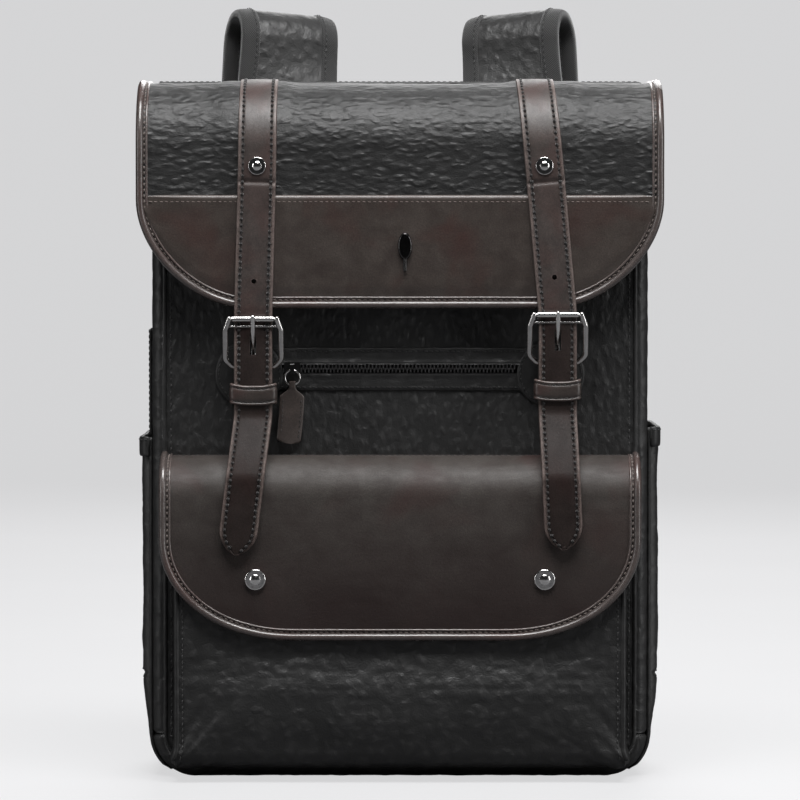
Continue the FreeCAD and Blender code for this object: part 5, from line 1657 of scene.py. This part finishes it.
def shoulder_strap(name):
    """A padded strap: leather core, mesh lining towards the back, wrapped edges and four rows of stitches."""
    origin, _, back, up = shoulder_axes(name)
    s, path, face, half = shoulder_line(name)
    lean = back - 0.12 * up
    bodies = ("bag", f"shoulder_strap_{name}", origin - 10 * lean, origin + 16 * lean)
    core = sweep(f"shoulder_strap_leather_{name}", path, face, pad_sections(s, half), BLACK)
    wrinkle(core, (9.0, 12.0, 12.0), 0.4, 163)
    place_bent(core, *bodies, "black_leather", f"strap_arch_{name}", f"strap_pad_{name}")
    _, side, out = frames(path, face)
    u = np.linspace(-1, 1, 30)
    aside = (half - 4.6)[:, None] * u
    sunk = np.repeat((3.25 + 0.5 * (1 - u ** 4))[None], len(s), 0)
    lining = path[:, None] + side[:, None] * aside[..., None] - out[:, None] * sunk[..., None]
    inwards = np.repeat(-out[:, None], len(u), 1)
    flow = np.stack([np.repeat(s[:, None], len(u), 1), aside, 0 * aside], -1)
    soft = slab(f"shoulder_strap_lining_{name}", lining, 0.9, MESH, inwards, 0.6, flow)
    place_bent(soft, *bodies, "air_mesh")
    for i, hand in enumerate((-1, 1)):
        sections = tape_sections(half, hand)
        tape = sweep(f"shoulder_strap_tape_{name}_{i}", path, out, sections, TAPE, wobble=0.2)
        place_bent(tape, *bodies, "black_leather")
        rail = path + side * ((half - 8.4) * hand)[:, None]
        for j, lift in enumerate((5.0, -3.7)):
            line, away = rail + out * lift, out * math.copysign(1, lift)
            row = stitch_row(f"shoulder_strap_stitches_{name}_{i}_{j}", line, away, BLACK_THREAD)
            place_bent(row, *bodies, "black_leather")


def wrinkle(piece, size, amount, seed):
    """Pushes a finished mesh in and out along its normals by leather wrinkles."""
    points = points_of(piece)
    normals = np.array([v.normal for v in piece.data.vertices])
    folds = (0.45 - creases(points, size, seed) ** 1.8) * amount
    move_points(piece, points + normals * folds[:, None])


# ---------------------------------------------------------------- drawcord

def drawcord():
    """The two ends of the cord, out of the eyelets, down through the lock and knotted below it."""
    low, high = span("drawcord")
    eyelet, top = span("eyelets")[1][0] - 4.5, high[2] - 1.4
    lock_y, lock_z = middle("cord_lock_barrel", 1), middle("cord_lock_barrel", 2)
    pitch = 0.6
    ring = bean(2.7, 2.7, 2.0, 16)
    turn = np.arctan2(ring[:, 1], ring[:, 0])
    for i, hand in enumerate((-1, 1)):
        marks = [(hand * eyelet, high[1] + 1.0, top), (hand * eyelet, high[1] - 2.2, top)]
        marks += [(hand * 2.2, lock_y, lock_z + 13), (hand * 2.2, lock_y, lock_z - 8)]
        marks.append((hand * 2.3, lock_y, low[2] + 2))
        line = eased(even(marks, pitch), 7)
        s = np.arange(len(line)) * pitch
        braid = np.sin(4 * turn[None] + s[:, None] * 1.9) * np.sin(4 * turn[None] - s[:, None] * 1.9)
        knot = 1 + 0.75 * np.exp(-((s - s[-1] + 2.0) / 1.2) ** 2)
        fat = (1 + 0.09 * braid) * knot[:, None]
        cord = sweep(f"cord_{i}", line, facing(TO_FRONT, len(line)), ring[None] * fat[..., None], TAPE)
        place(cord, "bag", "webbing", *(("drawcord",) if i == 0 else ()))


# ---------------------------------------------------------------- build

main_flap()
flap_hinge_strip()
for side_name in SIDES:
    closing_strap(side_name)
    chape(side_name)
    keeper(side_name)
front_and_back()
boxing()
rim_hem()
inner_bag()
divider()
zip_area()
anchor_patches()
pull_tab()
lower_pocket()
pocket_flap()
for side_name in SIDES:
    side_pocket(side_name)
    shoulder_strap(side_name)
    webbing(side_name)
    corner_tab(side_name)
side_placket()
back_padding()
back_yoke()
carry_handle()
drawcord()

finish_cad(NICKEL, "strap_rivets", "snap_caps", "eyelets", "magnet_discs", "chape_magnets")
for side_name in SIDES:
    finish_cad(GUNMETAL, f"buckle_frame_{side_name}")
    finish_cad(NICKEL, f"buckle_roller_{side_name}", f"buckle_prong_{side_name}")
    finish_cad(PLASTIC, f"strap_adjuster_{side_name}")
finish_cad(DARK_METAL, "zip_slider")
# the teeth get the darker gunmetal, partly for their own finish and partly as painted shade under the flap
finish_cad(GUNMETAL, "zip_teeth")
finish_cad(BADGE, "flap_badge")
finish_cad(NICKEL, "zip_ring")
finish_cad(PLASTIC, "cord_lock_barrel", "cord_lock_button")


# ---------------------------------------------------------------- studio

def pale_floor():
    """Pale to the camera and darker to every other ray, so that it doesn't flatten the leather."""
    look = Look("pale_floor")
    place_at = look.coordinates(flow=False)
    seen = look.node("LightPath").outputs["Is Camera Ray"]
    tint = look.noise(place_at, 3.0, 3.0, 0.5)
    color = look.mix(look.range(tint, 0.3, 0.7), (0.11, 0.11, 0.112), (0.12, 0.12, 0.122))
    color = look.mix(seen, (0.13, 0.13, 0.135), color)
    look.feed(look.shader.inputs["Emission Color"], look.mix(seen, (0.0, 0.0, 0.0), (0.86, 0.86, 0.87)))
    look.feed(look.shader.inputs["Emission Strength"], 0.74)
    return look.surface(color, 0.7, look.bump(look.noise(place_at, 180.0, 2.0), 0.0001), specular=0.2)


def backdrop():
    """Round floor that curves up into a wall on every side."""
    reach, height, pitch, sides = 4600.0, 5200.0, 120.0, 96
    profile = Bend([(10.0, 0.0), (reach, 0.0), (reach, height)], [1500.0], pitch)
    s = np.arange(0, profile.length, pitch)
    p, _ = profile.at(s)
    turn = np.linspace(0, 2 * math.pi, sides, endpoint=False)
    points = np.stack([p[:, :1] * np.cos(turn), p[:, :1] * np.sin(turn), np.repeat(p[:, 1:], sides, 1)], -1)
    faces = grid_faces(len(s), sides, loop=True) + [tuple(range(sides))]
    finish_mesh("backdrop", points, faces, pale_floor())


def area_light(name, at, toward, size, power, tall=None):
    lamp = bpy.data.lights.new(name, "AREA")
    lamp.energy, lamp.size = power, size
    if tall:
        lamp.shape, lamp.size_y = "RECTANGLE", tall
    holder = bpy.data.objects.new(name, lamp)
    holder.location = at
    holder.rotation_euler = (Vector(toward) - Vector(at)).to_track_quat("-Z", "Y").to_euler()
    bpy.context.scene.collection.objects.link(holder)


def studio():
    """One broad soft light over the front, a strip at each side and a soft one behind."""
    world = bpy.data.worlds.new("studio")
    world.use_nodes = True
    world.node_tree.nodes["Background"].inputs["Color"].default_value = (0.93, 0.95, 1.0, 1.0)
    world.node_tree.nodes["Background"].inputs["Strength"].default_value = 0.10
    bpy.context.scene.world = world
    bpy.context.scene.view_settings.view_transform = "Standard"
    area_light("overhead_front", (0.1, -0.75, 1.9), (0.0, 0.0, 0.3), 1.3, 60, 0.8)
    area_light("left_strip", (-1.6, -0.75, 0.6), (0.0, 0.0, 0.25), 0.25, 7, 1.3)
    area_light("right_strip", (1.6, -0.75, 0.6), (0.0, 0.0, 0.25), 0.3, 12, 1.3)
    area_light("back_soft", (0.2, 1.9, 1.4), (0.0, 0.0, 0.3), 1.4, 25)


def camera():
    """Straight on from the front, a little above the middle of the bag."""
    target = np.array([0.0, -0.072, 0.2298])
    distance, rise, half_view = 2.6, math.radians(2.5), 0.24
    lens = bpy.data.cameras.new("camera")
    lens.sensor_width = 36.0
    lens.lens = lens.sensor_width / 2 * distance / half_view
    holder = bpy.data.objects.new("camera", lens)
    holder.location = target + distance * np.array([0.0, -math.cos(rise), math.sin(rise)])
    holder.rotation_euler = (Vector(target) - holder.location).to_track_quat("-Z", "Y").to_euler()
    bpy.context.scene.collection.objects.link(holder)
    bpy.context.scene.camera = holder


backdrop()
studio()
camera()
